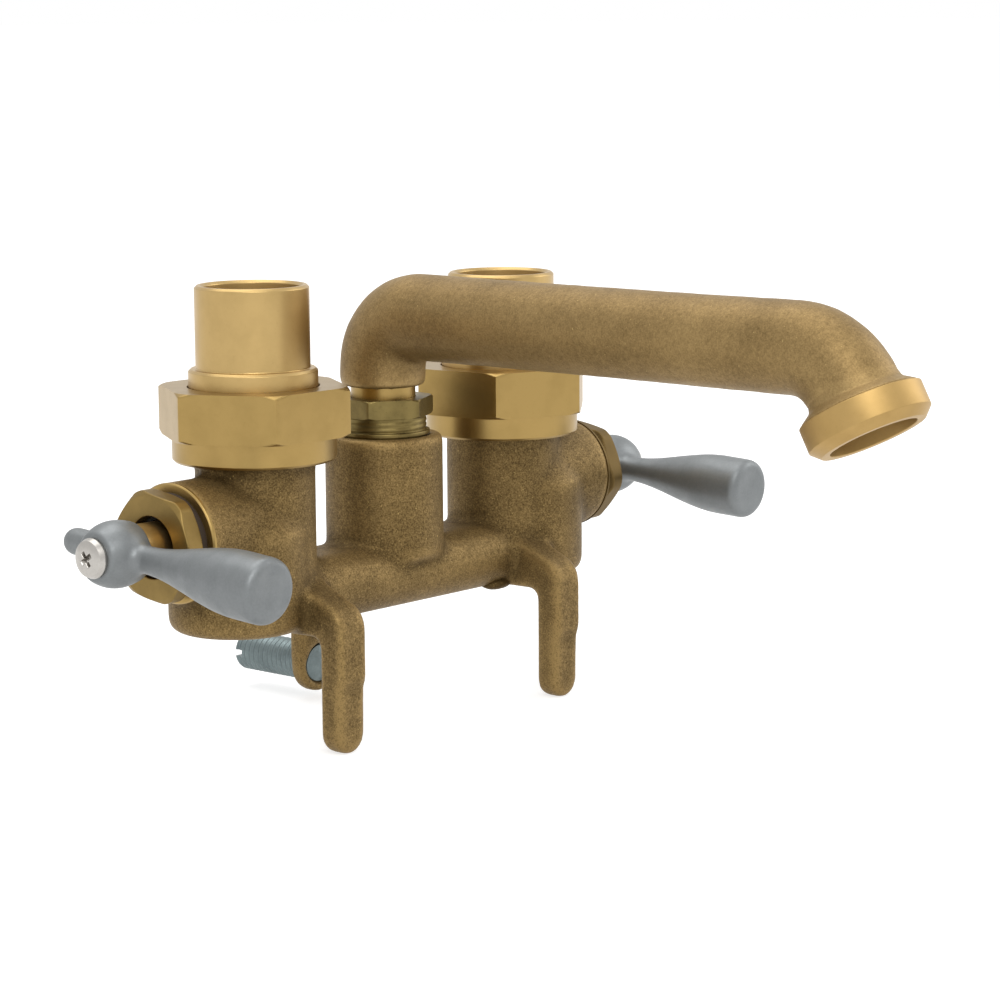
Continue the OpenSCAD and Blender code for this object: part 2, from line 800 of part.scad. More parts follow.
module handle(side) {
    drop_deg = side == LEFT ? left_lever_drop_deg : right_lever_drop_deg;
    color(GREY_METAL)
        on_side(side)
            difference() {
                union() {
                    hub_form();
                    translate([lever_x, 0, valve_axis_z])
                        rotate([90 + drop_deg, 0, 0])
                            lever_turning();
                }
                valve_rod(hub_x - JOIN, hub_x + broach_len + face_gap, broach_d + 2 * running_play);
                valve_rod(hub_x, hub_face_x + JOIN, screw_d + 2 * thread_play);
            }
}

// Pan-head screw with a cross recess
module handle_screw(side) {
    r = screw_head_d / 2;
    crown = screw_head_h / 2;
    color(STAINLESS)
        on_side(side)
            difference() {
                union() {
                    valve_turning(concat(
                        [[0, hub_face_x], [r, hub_face_x]],
                        arc([r - crown, hub_face_x + crown], crown, 0, 90),
                        [[0, hub_face_x + screw_head_h]]
                    ));
                    valve_rod(hub_face_x - screw_len, hub_face_x + JOIN, screw_d);
                }
                for (turn = RECESS_TURNS)
                    translate([hub_face_x + screw_head_h, 0, valve_axis_z])
                        rotate([turn, 0, 0])
                            cube([2 * screw_recess_h, screw_recess_w, screw_d], center = true);
            }
}

// Lifts a union piece to its place on a neck
module on_union(side) {
    backoff = side == LEFT ? left_union_backoff : 0;
    on_side(side)
        translate([inlet_x, 0, nut_foot_z + backoff])
            children();
}

// Union nut: hex above, round skirt below, threaded inside with a lip at the top
module union_nut(side) {
    turn = side == LEFT ? LEFT_UNION_TURN : RIGHT_UNION_TURN;
    skirt_r = union_skirt_d / 2;
    edge = union_chamfer / 2;
    color(TURNED)
        on_union(side)
            difference() {
                union() {
                    rotate_extrude()
                        polygon([
                            [0, 0], [skirt_r - edge, 0], [skirt_r, edge],
                            [skirt_r, union_skirt_h + JOIN], [0, union_skirt_h + JOIN]
                        ]);
                    translate([0, 0, union_skirt_h])
                        turned_hex(union_af, union_hex_h, 2 * union_af / sqrt(3), union_chamfer, turn);
                }
                translate([0, 0, -JOIN])
                    cylinder(d = union_thread_d + 2 * thread_play, h = nut_shelf + JOIN);
                cylinder(d = tail_collar_d + 2 * ring_gap, h = nut_h + JOIN);
            }
}

module union_gasket(side) {
    color(FIBRE)
        on_side(side)
            translate([inlet_x, 0, neck_top_z])
                difference() {
                    cylinder(d = union_thread_d - 2 * ring_gap, h = union_gasket_t);
                    translate([0, 0, -JOIN])
                        cylinder(d = inlet_bore, h = union_gasket_t + 2 * JOIN);
                }
}

// Sweat tailpiece: flange held by the nut, collar through its lip, cup for the supply tube
module tailpiece(side) {
    collar_top = nut_h + tail_collar_h;
    top = collar_top + tail_len;
    edge = tail_edge;
    flange_r = union_thread_d / 2 - ring_gap;
    flange_top = flange_z + tail_flange_t;
    color(TURNED)
        on_union(side)
            rotate_extrude()
                polygon([
                    [inlet_bore / 2, flange_z], [flange_r, flange_z], [flange_r, flange_top],
                    [tail_collar_d / 2, flange_top], [tail_collar_d / 2, collar_top - edge],
                    [tail_collar_d / 2 - edge, collar_top], [tail_od / 2, collar_top],
                    [tail_od / 2, top - edge], [tail_od / 2 - edge, top], [tail_bore / 2 + edge, top],
                    [tail_bore / 2, top - edge], [tail_bore / 2, top - tail_cup_h],
                    [inlet_bore / 2, top - tail_cup_h]
                ]);
}

// Quarter bend over the post, turning from upright to forward
module elbow(d) {
    translate([0, -elbow_r, arm_z - elbow_r])
        rotate([90, 0, 90])
            rotate_extrude(angle = 90)
                translate([elbow_r, 0])
                    circle(d = d);
}

// Bend that turns the arm down to the outlet
module end_bend(d) {
    translate([0, -arm_reach, bend_z])
        rotate([90, 0, 90])
            rotate([0, 0, 90])
                rotate_extrude(angle = end_bend_deg)
                    translate([end_bend_r, 0])
                        circle(d = d);
}

// Straight arm, a little slimmer at its middle, with a core that laps into both bends
module arm_form() {
    length = arm_reach - elbow_r;
    core_r = (arm_d + arm_bore) / 4;
    waist = (arm_d - arm_waist_d) / 2;
    translate([0, -elbow_r, arm_z])
        rotate([90, 0, 0])
            rotate_extrude()
                polygon(concat(
                    [[0, -JOIN], [core_r, -JOIN], [core_r, 0]],
                    [for (i = [0 : LEVER_STEPS])
                        [arm_d / 2 - waist * sin(180 * i / LEVER_STEPS), length * i / LEVER_STEPS]],
                    [[core_r, length], [core_r, length + JOIN], [0, length + JOIN]]
                ));
}

// Places a shape at the end bend with +Z along the outlet
module on_outlet() {
    translate([0, bend_end[0], bend_end[1]])
        rotate([180 - atan2(-outlet_dir[0], -outlet_dir[1]), 0, 0])
            children();
}

// Upright foot of the spout above the gland, with a rounded lower edge and a core that laps into the elbow
module foot_form() {
    r = arm_d / 2;
    e = spout_edge_r;
    top = arm_z - elbow_r;
    core_r = (arm_d + arm_bore) / 4;
    rotate_extrude()
        polygon(concat(
            [[0, spout_foot_z]],
            arc([r - e, spout_foot_z + e], e, 270, 360),
            [[r, top], [core_r, top], [core_r, top + JOIN], [0, top + JOIN]]
        ));
}

// Sockets for the shank and the collar, and the bore between them
module spout_waterway() {
    length = arm_reach - elbow_r;
    foot_top = arm_z - elbow_r;
    upright(0, spout_foot_z - JOIN, shank_top_z, shank_d + 2 * thread_play);
    upright(0, shank_top_z - JOIN, foot_top, arm_bore);
    elbow(arm_bore);
    translate([0, -elbow_r, arm_z])
        rotate([90, 0, 0])
            cylinder(d = arm_bore, h = length);
    end_bend(arm_bore);
    on_outlet()
        translate([0, 0, -spigot_len - face_gap])
            cylinder(d = spigot_d + 2 * thread_play, h = spigot_len + face_gap + JOIN);
}

module spout() {
    color(CAST)
        difference() {
            union() {
                foot_form();
                elbow(arm_d);
                arm_form();
                end_bend(arm_d);
            }
            spout_waterway();
        }
}

// Shank that turns in the post, with grooves for the retaining ring and the O-ring
module spout_shank() {
    r = shank_d / 2;
    bore_r = shank_bore / 2;
    ring_r = r - ring_groove;
    ring_foot = ring_z - running_play;
    ring_top = ring_z + ring_t + running_play;
    o_groove_r = o_ring_r - o_ring_t / 2 - running_play;
    o_half = o_ring_t / 2 + running_play;
    color(TURNED)
        rotate_extrude()
            polygon([
                [bore_r, shank_foot_z], [r, shank_foot_z],
                [r, o_ring_z - o_half], [o_groove_r, o_ring_z - o_half],
                [o_groove_r, o_ring_z + o_half], [r, o_ring_z + o_half],
                [r, ring_foot], [ring_r, ring_foot], [ring_r, ring_top], [r, ring_top],
                [r, shank_top_z], [bore_r, shank_top_z]
            ]);
}

// Turned collar at the outlet, with a spigot that goes into the arm
module outlet_collar() {
    band_foot = collar_neck_h + collar_cone_h;
    band_top = band_foot + collar_band_h;
    outlet_len = band_top + collar_chamfer;
    neck_r = arm_d / 2 + outlet_step;
    collar_r = collar_d / 2;
    ledge = outlet_len - outlet_bore_h;
    color(TURNED)
        on_outlet()
            rotate_extrude()
                polygon([
                    [spigot_bore / 2, -spigot_len], [spigot_d / 2, -spigot_len], [spigot_d / 2, 0],
                    [neck_r, 0], [neck_r, collar_neck_h], [collar_r, band_foot], [collar_r, band_top],
                    [collar_r - collar_chamfer, outlet_len], [outlet_bore / 2, outlet_len],
                    [outlet_bore / 2, ledge], [spigot_bore / 2, ledge]
                ]);
}

// Gland nut: hex above, seat flange on the post and thread inside it
module spout_nut() {
    hex_z = post_top_z + gland_rise;
    color(DARK_BRASS)
        difference() {
            union() {
                translate([0, 0, hex_z])
                    turned_hex(gland_af, gland_hex_h, 2 * gland_af / sqrt(3), gland_chamfer, GLAND_TURN);
                upright(0, gland_foot_z, hex_z + gland_hex_h / 2, gland_thread_d);
                upright(0, post_top_z, post_top_z + gland_flange_t, gland_flange_d);
            }
            upright(0, gland_foot_z - JOIN, hex_z + gland_hex_h + JOIN, shank_d + 2 * running_play);
        }
}

module spout_retaining_ring() {
    inner_r = shank_d / 2 - ring_groove + running_play;
    color(STAINLESS)
        rotate_extrude()
            translate([inner_r, ring_z])
                square([ring_d / 2 - inner_r, ring_t]);
}

module spout_o_ring() {
    color(RUBBER)
        rotate_extrude()
            translate([o_ring_r, o_ring_z])
                circle(d = o_ring_t, $fn = 32);
}

// Headless clamp screw with a slot across its rear end
module clamp_screw() {
    r = clamp_d / 2;
    c = clamp_chamfer;
    color(ZINC)
        translate([0, clamp_tip_y, -clamp_drop])
            rotate([-90, 0, 0])
                difference() {
                    rotate_extrude()
                        polygon([
                            [0, 0], [r - c, 0], [r, c],
                            [r, clamp_len - c], [r - c, clamp_len], [0, clamp_len]
                        ]);
                    translate([-clamp_d, -clamp_slot_w / 2, clamp_len - clamp_slot_h])
                        cube([2 * clamp_d, clamp_slot_w, clamp_slot_h + JOIN]);
                }
}

body_casting();
valve_seat(LEFT);  // left_valve_seat
valve_seat(RIGHT);  // right_valve_seat
seat_washer(LEFT);  // left_seat_washer
seat_washer(RIGHT);  // right_seat_washer
washer_screw(LEFT);  // left_washer_screw
washer_screw(RIGHT);  // right_washer_screw
stem(LEFT);  // left_stem
stem(RIGHT);  // right_stem
bonnet(LEFT);  // left_bonnet
bonnet(RIGHT);  // right_bonnet
bonnet_gasket(LEFT);  // left_bonnet_gasket
bonnet_gasket(RIGHT);  // right_bonnet_gasket
packing(LEFT);  // left_packing
packing(RIGHT);  // right_packing
handle(LEFT);  // left_handle
handle(RIGHT);  // right_handle
handle_screw(LEFT);  // left_handle_screw
handle_screw(RIGHT);  // right_handle_screw
union_nut(LEFT);  // left_union_nut
union_nut(RIGHT);  // right_union_nut
union_gasket(LEFT);  // left_union_gasket
union_gasket(RIGHT);  // right_union_gasket
tailpiece(LEFT);  // left_tailpiece
tailpiece(RIGHT);  // right_tailpiece
spout();
spout_shank();
outlet_collar();
spout_nut();
spout_retaining_ring();
spout_o_ring();
clamp_screw();
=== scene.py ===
"""Utility sink faucet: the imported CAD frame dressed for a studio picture.

Sizes in the classes are millimetres, apart from the studio's, which are metres. Meshes are metres,
in the CAD frame: +Z is up, the spout looks to -Y and the two valves lie on one line along X.
"""
import logging
import math
from dataclasses import dataclass
from enum import Enum
from typing import Any, Callable, Mapping, Sequence

import bmesh
import bpy
import numpy as np
from mathutils import Matrix, Vector


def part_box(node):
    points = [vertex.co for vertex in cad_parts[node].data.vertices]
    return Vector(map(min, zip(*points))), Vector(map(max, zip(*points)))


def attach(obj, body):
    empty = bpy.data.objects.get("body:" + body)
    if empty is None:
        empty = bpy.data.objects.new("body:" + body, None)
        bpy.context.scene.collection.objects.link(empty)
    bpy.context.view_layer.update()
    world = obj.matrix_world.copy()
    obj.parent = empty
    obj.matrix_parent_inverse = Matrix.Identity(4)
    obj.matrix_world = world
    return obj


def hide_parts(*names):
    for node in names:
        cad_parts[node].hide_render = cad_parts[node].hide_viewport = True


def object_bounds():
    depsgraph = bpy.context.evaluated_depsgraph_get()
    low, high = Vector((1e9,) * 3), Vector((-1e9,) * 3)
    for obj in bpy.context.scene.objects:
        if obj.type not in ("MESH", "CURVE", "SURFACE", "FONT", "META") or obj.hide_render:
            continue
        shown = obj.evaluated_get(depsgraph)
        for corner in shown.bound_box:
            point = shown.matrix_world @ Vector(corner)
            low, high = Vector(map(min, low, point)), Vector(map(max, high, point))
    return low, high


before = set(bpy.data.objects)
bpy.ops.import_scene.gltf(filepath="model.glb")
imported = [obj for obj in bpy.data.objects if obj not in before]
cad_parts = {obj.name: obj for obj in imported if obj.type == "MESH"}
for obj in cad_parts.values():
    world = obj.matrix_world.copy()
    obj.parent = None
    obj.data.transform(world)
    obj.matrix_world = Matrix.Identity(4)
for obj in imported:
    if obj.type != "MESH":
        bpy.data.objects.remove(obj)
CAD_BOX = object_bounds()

LOG = logging.getLogger("faucet")
MM = 0.001
# Point attribute read by the cast materials. Ridges are painted lighter, partly as worn metal and
# partly as painted highlight, and hollows darker, as painted shade.
WEAR_AND_SHADE = "wear_and_shade"
HEX_CORNER_DEG = 30.0
TURNED_SHARP_DEG = 32.0
THREAD_SHARP_DEG = 50.0
CAST_SHARP_DEG = 60.0

Mesh = bpy.types.Mesh
Material = bpy.types.Material
Colour = tuple[float, float, float]
Triple = tuple[float, float, float]
Band = tuple[float, float]

UP: Triple = (0.0, 0.0, 1.0)
VALVE_AXIS: Triple = (1.0, 0.0, 0.0)
OUTLET_AXIS: Triple = (0.0, -0.477159, -0.878817)


class Side(Enum):
    """The two halves of the faucet, with the sign of X on that side."""

    LEFT = -1
    RIGHT = 1

    @property
    def word(self) -> str:
        """The side's word in node and body names."""
        return self.name.lower()

    def node(self, piece: str) -> str:
        """The CAD node of a piece on this side."""
        return f"{self.word}_{piece}"


NUT_TURNS_DEG = {Side.LEFT: -2.0, Side.RIGHT: 37.5}


class Body(Enum):
    """The bodies of the CAD frame that carry new pieces."""

    ROOT = "faucet_body"
    SPOUT = "swing_spout"
    CLAMP = "rim_clamp_screw"
    LEFT_HANDLE = "left_valve_handle"
    RIGHT_HANDLE = "right_valve_handle"

    @staticmethod
    def handle(side: Side) -> "Body":
        """The body of the handle on a side."""
        return Body.LEFT_HANDLE if side is Side.LEFT else Body.RIGHT_HANDLE


class Wire:
    """An output socket of a node tree that takes part in Python arithmetic."""

    def __init__(self, graph: "Graph", socket: bpy.types.NodeSocket | None) -> None:
        """Keeps the graph and the socket."""
        self.graph = graph
        self.socket = socket

    def _math(self, operation: str, first: Any, second: Any = 0.0) -> "Wire":
        """Adds one Math node and returns its value."""
        return self.graph.node("ShaderNodeMath", {"operation": operation}, {0: first, 1: second})

    def __add__(self, other: Any) -> "Wire":
        """Sum."""
        return self._math("ADD", self, other)

    def __radd__(self, other: Any) -> "Wire":
        """Sum with a number on the left."""
        return self._math("ADD", other, self)

    def __sub__(self, other: Any) -> "Wire":
        """Difference."""
        return self._math("SUBTRACT", self, other)

    def __rsub__(self, other: Any) -> "Wire":
        """Difference from a number on the left."""
        return self._math("SUBTRACT", other, self)

    def __mul__(self, other: Any) -> "Wire":
        """Product."""
        return self._math("MULTIPLY", self, other)

    def __rmul__(self, other: Any) -> "Wire":
        """Product with a number on the left."""
        return self._math("MULTIPLY", other, self)

    def __truediv__(self, other: Any) -> "Wire":
        """Quotient."""
        return self._math("DIVIDE", self, other)

    def __rtruediv__(self, other: Any) -> "Wire":
        """Quotient of a number on the left."""
        return self._math("DIVIDE", other, self)

    def __abs__(self) -> "Wire":
        """Size without sign."""
        return self._math("ABSOLUTE", self)

    def fraction(self) -> "Wire":
        """What is left after the whole number below."""
        return self._math("FRACT", self)

    def angle_to(self, other: "Wire") -> "Wire":
        """Angle of the point (other, self), in radians."""
        return self._math("ARCTAN2", self, other)

    def largest(self, other: Any) -> "Wire":
        """The larger of two values."""
        return self._math("MAXIMUM", self, other)

    def between(self, low: float, high: float) -> "Wire":
        """0 at or below low, 1 at or above high, and straight between."""
        return self.graph.node("ShaderNodeMapRange", {"clamp": True}, {0: self, 1: low, 2: high})


class Graph:
    """Builds the nodes of one tree, for a shader or for geometry."""

    def __init__(self, tree: bpy.types.NodeTree) -> None:
        """Keeps the tree."""
        self.tree = tree

    def node(
        self,
        kind: str,
        settings: Mapping[str, Any] | None = None,
        sockets: Mapping[int | str, Any] | None = None,
        output: int | str = 0,
    ) -> Wire:
        """Adds a node.

        Args:
            kind: The node's type.
            settings: Properties, set before the sockets; "stops" holds a ramp's stops.
            sockets: Values or wires of the input sockets.
            output: The output that the wire carries.

        Returns:
            The wire of that output, or an empty one for an end node.
        """
        made = self.tree.nodes.new(kind)
        for key, value in (settings or {}).items():
            if key == "stops":
                self._set_stops(made.color_ramp, value)
            else:
                setattr(made, key, value)
        for key, value in (sockets or {}).items():
            if isinstance(value, Wire):
                self.tree.links.new(value.socket, made.inputs[key])
            else:
                made.inputs[key].default_value = value
        return Wire(self, made.outputs[output] if len(made.outputs) else None)

    @staticmethod
    def _set_stops(ramp: bpy.types.ColorRamp, stops: Sequence[tuple[float, Colour]]) -> None:
        """Gives a ramp its stops.

        Args:
            ramp: The ramp.
            stops: The place and colour of each stop.
        """
        while len(ramp.elements) < len(stops):
            ramp.elements.new(1.0)
        for element, (place, colour) in zip(ramp.elements, stops):
            element.position = place
            element.color = (*colour, 1.0)

    def noise(self, at: Wire, size: float, detail: float = 2.0, rough: float = 0.5) -> Wire:
        """Noise in space.

        Args:
            at: The place, in metres.
            size: Size of the pattern in millimetres.
            detail: Number of finer layers.
            rough: Share of the finer layers.

        Returns:
            The noise, about 0.5 on average.
        """
        sockets = {"Vector": at, "Scale": 1 / (size * MM), "Detail": detail, "Roughness": rough}
        return self.node("ShaderNodeTexNoise", None, sockets)

    def blend(self, share: Wire, first: Any, second: Any) -> Wire:
        """Mixes two colours.

        Args:
            share: Share of the second colour.
            first: A colour or its wire.
            second: A colour or its wire.

        Returns:
            The mixed colour.
        """
        ends = [end if isinstance(end, Wire) else (*end, 1.0) for end in (first, second)]
        sockets = {0: share, 6: ends[0], 7: ends[1]}
        return self.node("ShaderNodeMix", {"data_type": "RGBA"}, sockets, 2)

    def bump(self, height: Wire, depth: float) -> Wire:
        """Normal of a fine relief.

        Args:
            height: The relief, from 0 to 1.
            depth: Its depth in millimetres.

        Returns:
            The bent normal.
        """
        sockets = {"Strength": 1.0, "Distance": depth * MM, "Height": height}
        return self.node("ShaderNodeBump", None, sockets)


def surface_graph(name: str) -> tuple[Material, Graph, Wire]:
    """Starts a material.

    Args:
        name: The material's name.

    Returns:
        The material, the graph of its empty tree, and the wire of the object coordinates.
    """
    material = bpy.data.materials.new(name)
    material.use_nodes = True
    material.node_tree.nodes.clear()
    graph = Graph(material.node_tree)
    return material, graph, graph.node("ShaderNodeTexCoord", output="Object")


def close_surface(graph: Graph, sockets: Mapping[str, Any]) -> None:
    """Ends a material in a Principled shader with these sockets."""
    surface = graph.node("ShaderNodeBsdfPrincipled", None, sockets)
    graph.node("ShaderNodeOutputMaterial", None, {"Surface": surface})


@dataclass(frozen=True)
class SandCast:
    """Brass as it comes from a sand mould and the tumbler: brown skin, pits and bright flecks.

    The sizes of sand, patches and glints are multiples of the grain.
    """

    name: str
    pit: Colour
    skin: Colour
    fleck: Colour
    glint: Colour
    speckle: float
    relief: float
    metallic: float
    rough: Band
    grain: float = 0.38
    sand_size: float = 3.0
    patch_size: float = 40.0
    glint_size: float = 1.2
    sand_share: float = 0.2
    patch_share: float = 0.25
    wear_and_shade_share: float = 0.25
    glint_band: Band = (0.72, 0.8)
    gloss_band: Band = (0.35, 0.7)
    stops: Triple = (0.36, 0.5, 0.66)
    specular: float = 0.2

    def material(self) -> Material:
        """Builds the material.

        Returns:
            The material.
        """
        material, graph, at = surface_graph(self.name)
        grain = graph.noise(at, self.grain, 3.0, 0.6)
        sand = graph.noise(at, self.sand_size * self.grain)
        patch = graph.noise(at, self.patch_size * self.grain)
        # Glints: rare bright spots painted into the base colour as highlights of light sparkling on
        # grains.
        glint = graph.noise(at, self.glint_size * self.grain, 1.0).between(*self.glint_band)
        # Ridges lighter, partly worn metal and partly painted highlight; hollows darker, which is
        # painted shade.
        wear_and_shade = graph.node("ShaderNodeAttribute", {"attribute_name": WEAR_AND_SHADE}, output="Fac")
        fine = (grain - 0.5) * self.speckle + (sand - 0.5) * self.sand_share
        tone = 0.5 + fine + (patch - 0.5) * self.patch_share + (wear_and_shade - 0.5) * self.wear_and_shade_share
        stops = list(zip(self.stops, (self.pit, self.skin, self.fleck)))
        colour = graph.node("ShaderNodeValToRGB", {"stops": stops}, {"Fac": tone})
        low, high = self.rough
        sockets = {
            "Base Color": graph.blend(glint, colour, self.glint),
            "Metallic": self.metallic,
            "Specular IOR Level": self.specular,
            "Roughness": high - (high - low) * tone.between(*self.gloss_band),
            "Normal": graph.bump(grain * 0.8 + sand * 0.4, self.relief),
        }
        close_surface(graph, sockets)
        return material


@dataclass(frozen=True)
class Turned:
    """Metal turned on a lathe: fine lines round an axis and faint handling stains."""

    name: str
    colour: Colour
    stain: Colour
    axis: Triple
    rough: Band
    relief: float = 0.008
    line: float = 0.12
    cloud_size: float = 7.0
    speck_size: float = 0.6
    cloud_share: float = 0.6
    speck_share: float = 0.25
    cloud_band: Band = (0.42, 0.75)
    speck_band: Band = (0.6, 0.75)

    def material(self) -> Material:
        """Builds the material.

        Returns:
            The material.
        """
        material, graph, at = surface_graph(self.name)
        ends = {0: at, 1: self.axis}
        along = graph.node("ShaderNodeVectorMath", {"operation": "DOT_PRODUCT"}, ends, 1)
        sockets = {"W": along / (self.line * MM), "Scale": 1.0, "Detail": 3.0, "Roughness": 0.7}
        lines = graph.node("ShaderNodeTexNoise", {"noise_dimensions": "1D"}, sockets)
        cloud = graph.noise(at, self.cloud_size, 3.0, 0.6)
        speck = graph.noise(at, self.speck_size)
        clouds = cloud.between(*self.cloud_band) * self.cloud_share
        share = clouds + speck.between(*self.speck_band) * self.speck_share
        low, high = self.rough
        sockets = {
            "Base Color": graph.blend(share, self.colour, self.stain),
            "Metallic": 1.0,
            "Roughness": low + (high - low) * (cloud * 0.6 + lines * 0.4),
            "Normal": graph.bump(lines, self.relief),
        }
        close_surface(graph, sockets)
        return material


@dataclass(frozen=True)
class Tumbled:
    """Die-cast grey metal, tumbled to a satin skin with soft streaks."""

    name: str
    colour: Colour
    shade: Colour
    metallic: float
    rough: Band
    cloud_size: float = 5.0
    grain_size: float = 0.5
    shade_band: Band = (0.38, 0.66)
    relief: float = 0.02

    def material(self) -> Material:
        """Builds the material.

        Returns:
            The material.
        """
        material, graph, at = surface_graph(self.name)
        cloud = graph.noise(at, self.cloud_size, 4.0, 0.6)
        grain = graph.noise(at, self.grain_size)
        share = (cloud * 0.7 + grain * 0.3).between(*self.shade_band)
        low, high = self.rough
        sockets = {
            "Base Color": graph.blend(share, self.colour, self.shade),
            "Metallic": self.metallic,
            "Roughness": low + (high - low) * share,
            "Normal": graph.bump(grain * 0.6 + cloud * 0.8, self.relief),
        }
        close_surface(graph, sockets)
        return material


@dataclass(frozen=True)
class Plain:
    """One even colour, for pieces that hardly show."""

    name: str
    colour: Colour
    rough: float

    def material(self) -> Material:
        """Builds the material.

        Returns:
            The material.
        """
        material, graph, _ = surface_graph(self.name)
        sockets = {"Base Color": (*self.colour, 1.0), "Metallic": 0.0, "Roughness": self.rough}
        close_surface(graph, sockets)
        return material


class Finishes:
    """The finishes of the faucet, each built once."""

    def __init__(self) -> None:
        """Builds every material."""
        self.cast = SandCast(
            "cast_brass",
            pit=(0.088, 0.055, 0.018),
            skin=(0.172, 0.112, 0.041),
            fleck=(0.3, 0.2, 0.076),
            glint=(0.52, 0.37, 0.14),
            speckle=0.68,
            relief=0.055,
            metallic=0.65,
            rough=(0.5, 0.64),
        ).material()
        self.arm = SandCast(
            "cast_brass_arm",
            pit=(0.143, 0.093, 0.034),
            skin=(0.242, 0.16, 0.064),
            fleck=(0.35, 0.238, 0.098),
            glint=(0.5, 0.36, 0.15),
            speckle=0.42,
            relief=0.035,
            metallic=0.7,
            rough=(0.46, 0.58),
        ).material()
        self.tail = Turned(
            "turned_brass_tail", (0.485, 0.335, 0.138), (0.4, 0.275, 0.109), UP, (0.29, 0.38)
        ).material()
        self.nut = Turned(
            "turned_brass_nut", (0.35, 0.236, 0.083), (0.285, 0.191, 0.065), UP, (0.28, 0.4), 0.006
        ).material()
        self.valve = Turned(
            "turned_brass_valve", (0.24, 0.163, 0.055), (0.165, 0.112, 0.038), VALVE_AXIS, (0.36, 0.5)
        ).material()
        self.aged = Turned(
            "aged_brass", (0.15, 0.1, 0.037), (0.115, 0.076, 0.028), VALVE_AXIS, (0.5, 0.62)
        ).material()
        self.faced = Turned(
            "faced_brass", (0.36, 0.245, 0.088), (0.25, 0.168, 0.06), VALVE_AXIS, (0.32, 0.45), 0.006
        ).material()
        self.outlet = Turned(
            "turned_brass_outlet",
            (0.42, 0.277, 0.105),
            (0.34, 0.222, 0.08),
            OUTLET_AXIS,
            (0.42, 0.52),
            0.006,
        ).material()
        self.dark = Turned(
            "dark_brass", (0.20, 0.15, 0.055), (0.06, 0.045, 0.018), UP, (0.28, 0.5), 0.02, 0.2
        ).material()
        self.grey = Tumbled(
            "grey_metal", (0.214, 0.226, 0.229), (0.183, 0.195, 0.198), 0.65, (0.42, 0.52)
        ).material()
        self.stainless = Tumbled(
            "stainless", (0.46, 0.44, 0.41), (0.41, 0.39, 0.36), 1.0, (0.3, 0.36)
        ).material()
        self.zinc = Tumbled(
            "blue_zinc", (0.2, 0.245, 0.248), (0.15, 0.186, 0.19), 0.8, (0.34, 0.46)
        ).material()
        self.rubber = Plain("black_rubber", (0.02, 0.02, 0.02), 0.6).material()
        self.fibre = Plain("fibre_gasket", (0.03, 0.018, 0.01), 0.7).material()


def linked(name: str, data: bpy.types.ID) -> bpy.types.Object:
    """Puts a mesh, a lamp or a camera into the scene.

    Args:
        name: The object's name.
        data: What it holds.

    Returns:
        The object.
    """
    made = bpy.data.objects.new(name, data)
    bpy.context.scene.collection.objects.link(made)
    return made


def primitive(name: str, shape: Callable[..., Any], **sizes: Any) -> Mesh:
    """Makes a mesh of one simple shape.

    Args:
        name: The mesh's name.
        shape: The bmesh operator that makes it.
        sizes: What the operator takes.

    Returns:
        The mesh.
    """
    mesh = bpy.data.meshes.new(name)
    work = bmesh.new()
    shape(work, **sizes)
    work.to_mesh(mesh)
    work.free()
    return mesh


def evaluated(holder: bpy.types.Object) -> Mesh:
    """Turns an object with modifiers into a plain mesh and removes the object.

    Args:
        holder: The object.

    Returns:
        Its mesh with the modifiers applied.
    """
    graph = bpy.context.evaluated_depsgraph_get()
    mesh = bpy.data.meshes.new_from_object(holder.evaluated_get(graph), depsgraph=graph)
    bpy.data.objects.remove(holder)
    return mesh


def carved(mesh: Mesh, cutter: Mesh) -> Mesh:
    """Cuts one closed mesh out of another.

    Args:
        mesh: The mesh that is cut.
        cutter: The mesh that is taken away.

    Returns:
        What is left.
    """
    tool = linked("cutter", cutter)
    holder = linked("carving", mesh)
    cut = holder.modifiers.new("cut", "BOOLEAN")
    cut.operation = "DIFFERENCE"
    cut.solver = "EXACT"
    cut.object = tool
    result = evaluated(holder)
    bpy.data.objects.remove(tool)
    return result


def shaded(mesh: Mesh, sharp_deg: float) -> Mesh:
    """Shades a mesh smooth, with its sharp edges kept.

    Args:
        mesh: The mesh.
        sharp_deg: Angle from which an edge is sharp.

    Returns:
        The same mesh.
    """
    mesh.shade_smooth()
    mesh.set_sharp_from_angle(angle=math.radians(sharp_deg))
    return mesh


def welded(mesh: Mesh, gap: float = 1e-5) -> None:
    """Merges doubled points, which also closes poles.

    Args:
        mesh: The mesh.
        gap: How near two points lie that are merged, in the mesh's own unit.
    """
    work = bmesh.new()
    work.from_mesh(mesh)
    bmesh.ops.remove_doubles(work, verts=work.verts, dist=gap)
    bmesh.ops.dissolve_degenerate(work, edges=work.edges, dist=gap)
    work.to_mesh(mesh)
    work.free()


def set_wear_and_shade(mesh: Mesh, wear_and_shade: np.ndarray) -> None:
    """Stores each point's value, from 0 in a hollow, painted darker as shade, to 1 on a ridge, painted
    lighter as worn metal and highlight.
    """
    attribute = mesh.attributes.new(WEAR_AND_SHADE, "FLOAT", "POINT")
    attribute.data.foreach_set("value", wear_and_shade.astype(np.float32))


def shown(name: str, mesh: Mesh, material: Material, body: Body, slot: str, *nodes: str) -> None:
    """Makes a finished mesh a piece of the faucet.

    Args:
        name: The piece's name.
        mesh: Its mesh, in the CAD frame.
        material: Its material.
        body: The body that it rides on.
        slot: Name of a material slot; not used.
        nodes: CAD nodes that it stands for.
    """
    mesh.materials.clear()
    mesh.materials.append(material)
    piece = linked(name, mesh)
    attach(piece, body.value)
    if nodes:
        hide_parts(*nodes)
    LOG.info("%s: %d faces on %s", name, len(mesh.polygons), body.value)


def dress(node: str, material: Material) -> None:
    """Gives a CAD node that stays a material.

    Args:
        node: The CAD node.
        material: The material.
    """
    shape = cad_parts[node]
    if not shape.material_slots:
        shape.data.materials.append(material)
    for slot in shape.material_slots:
        slot.material = material
    LOG.info("%s: dressed in %s", node, material.name)


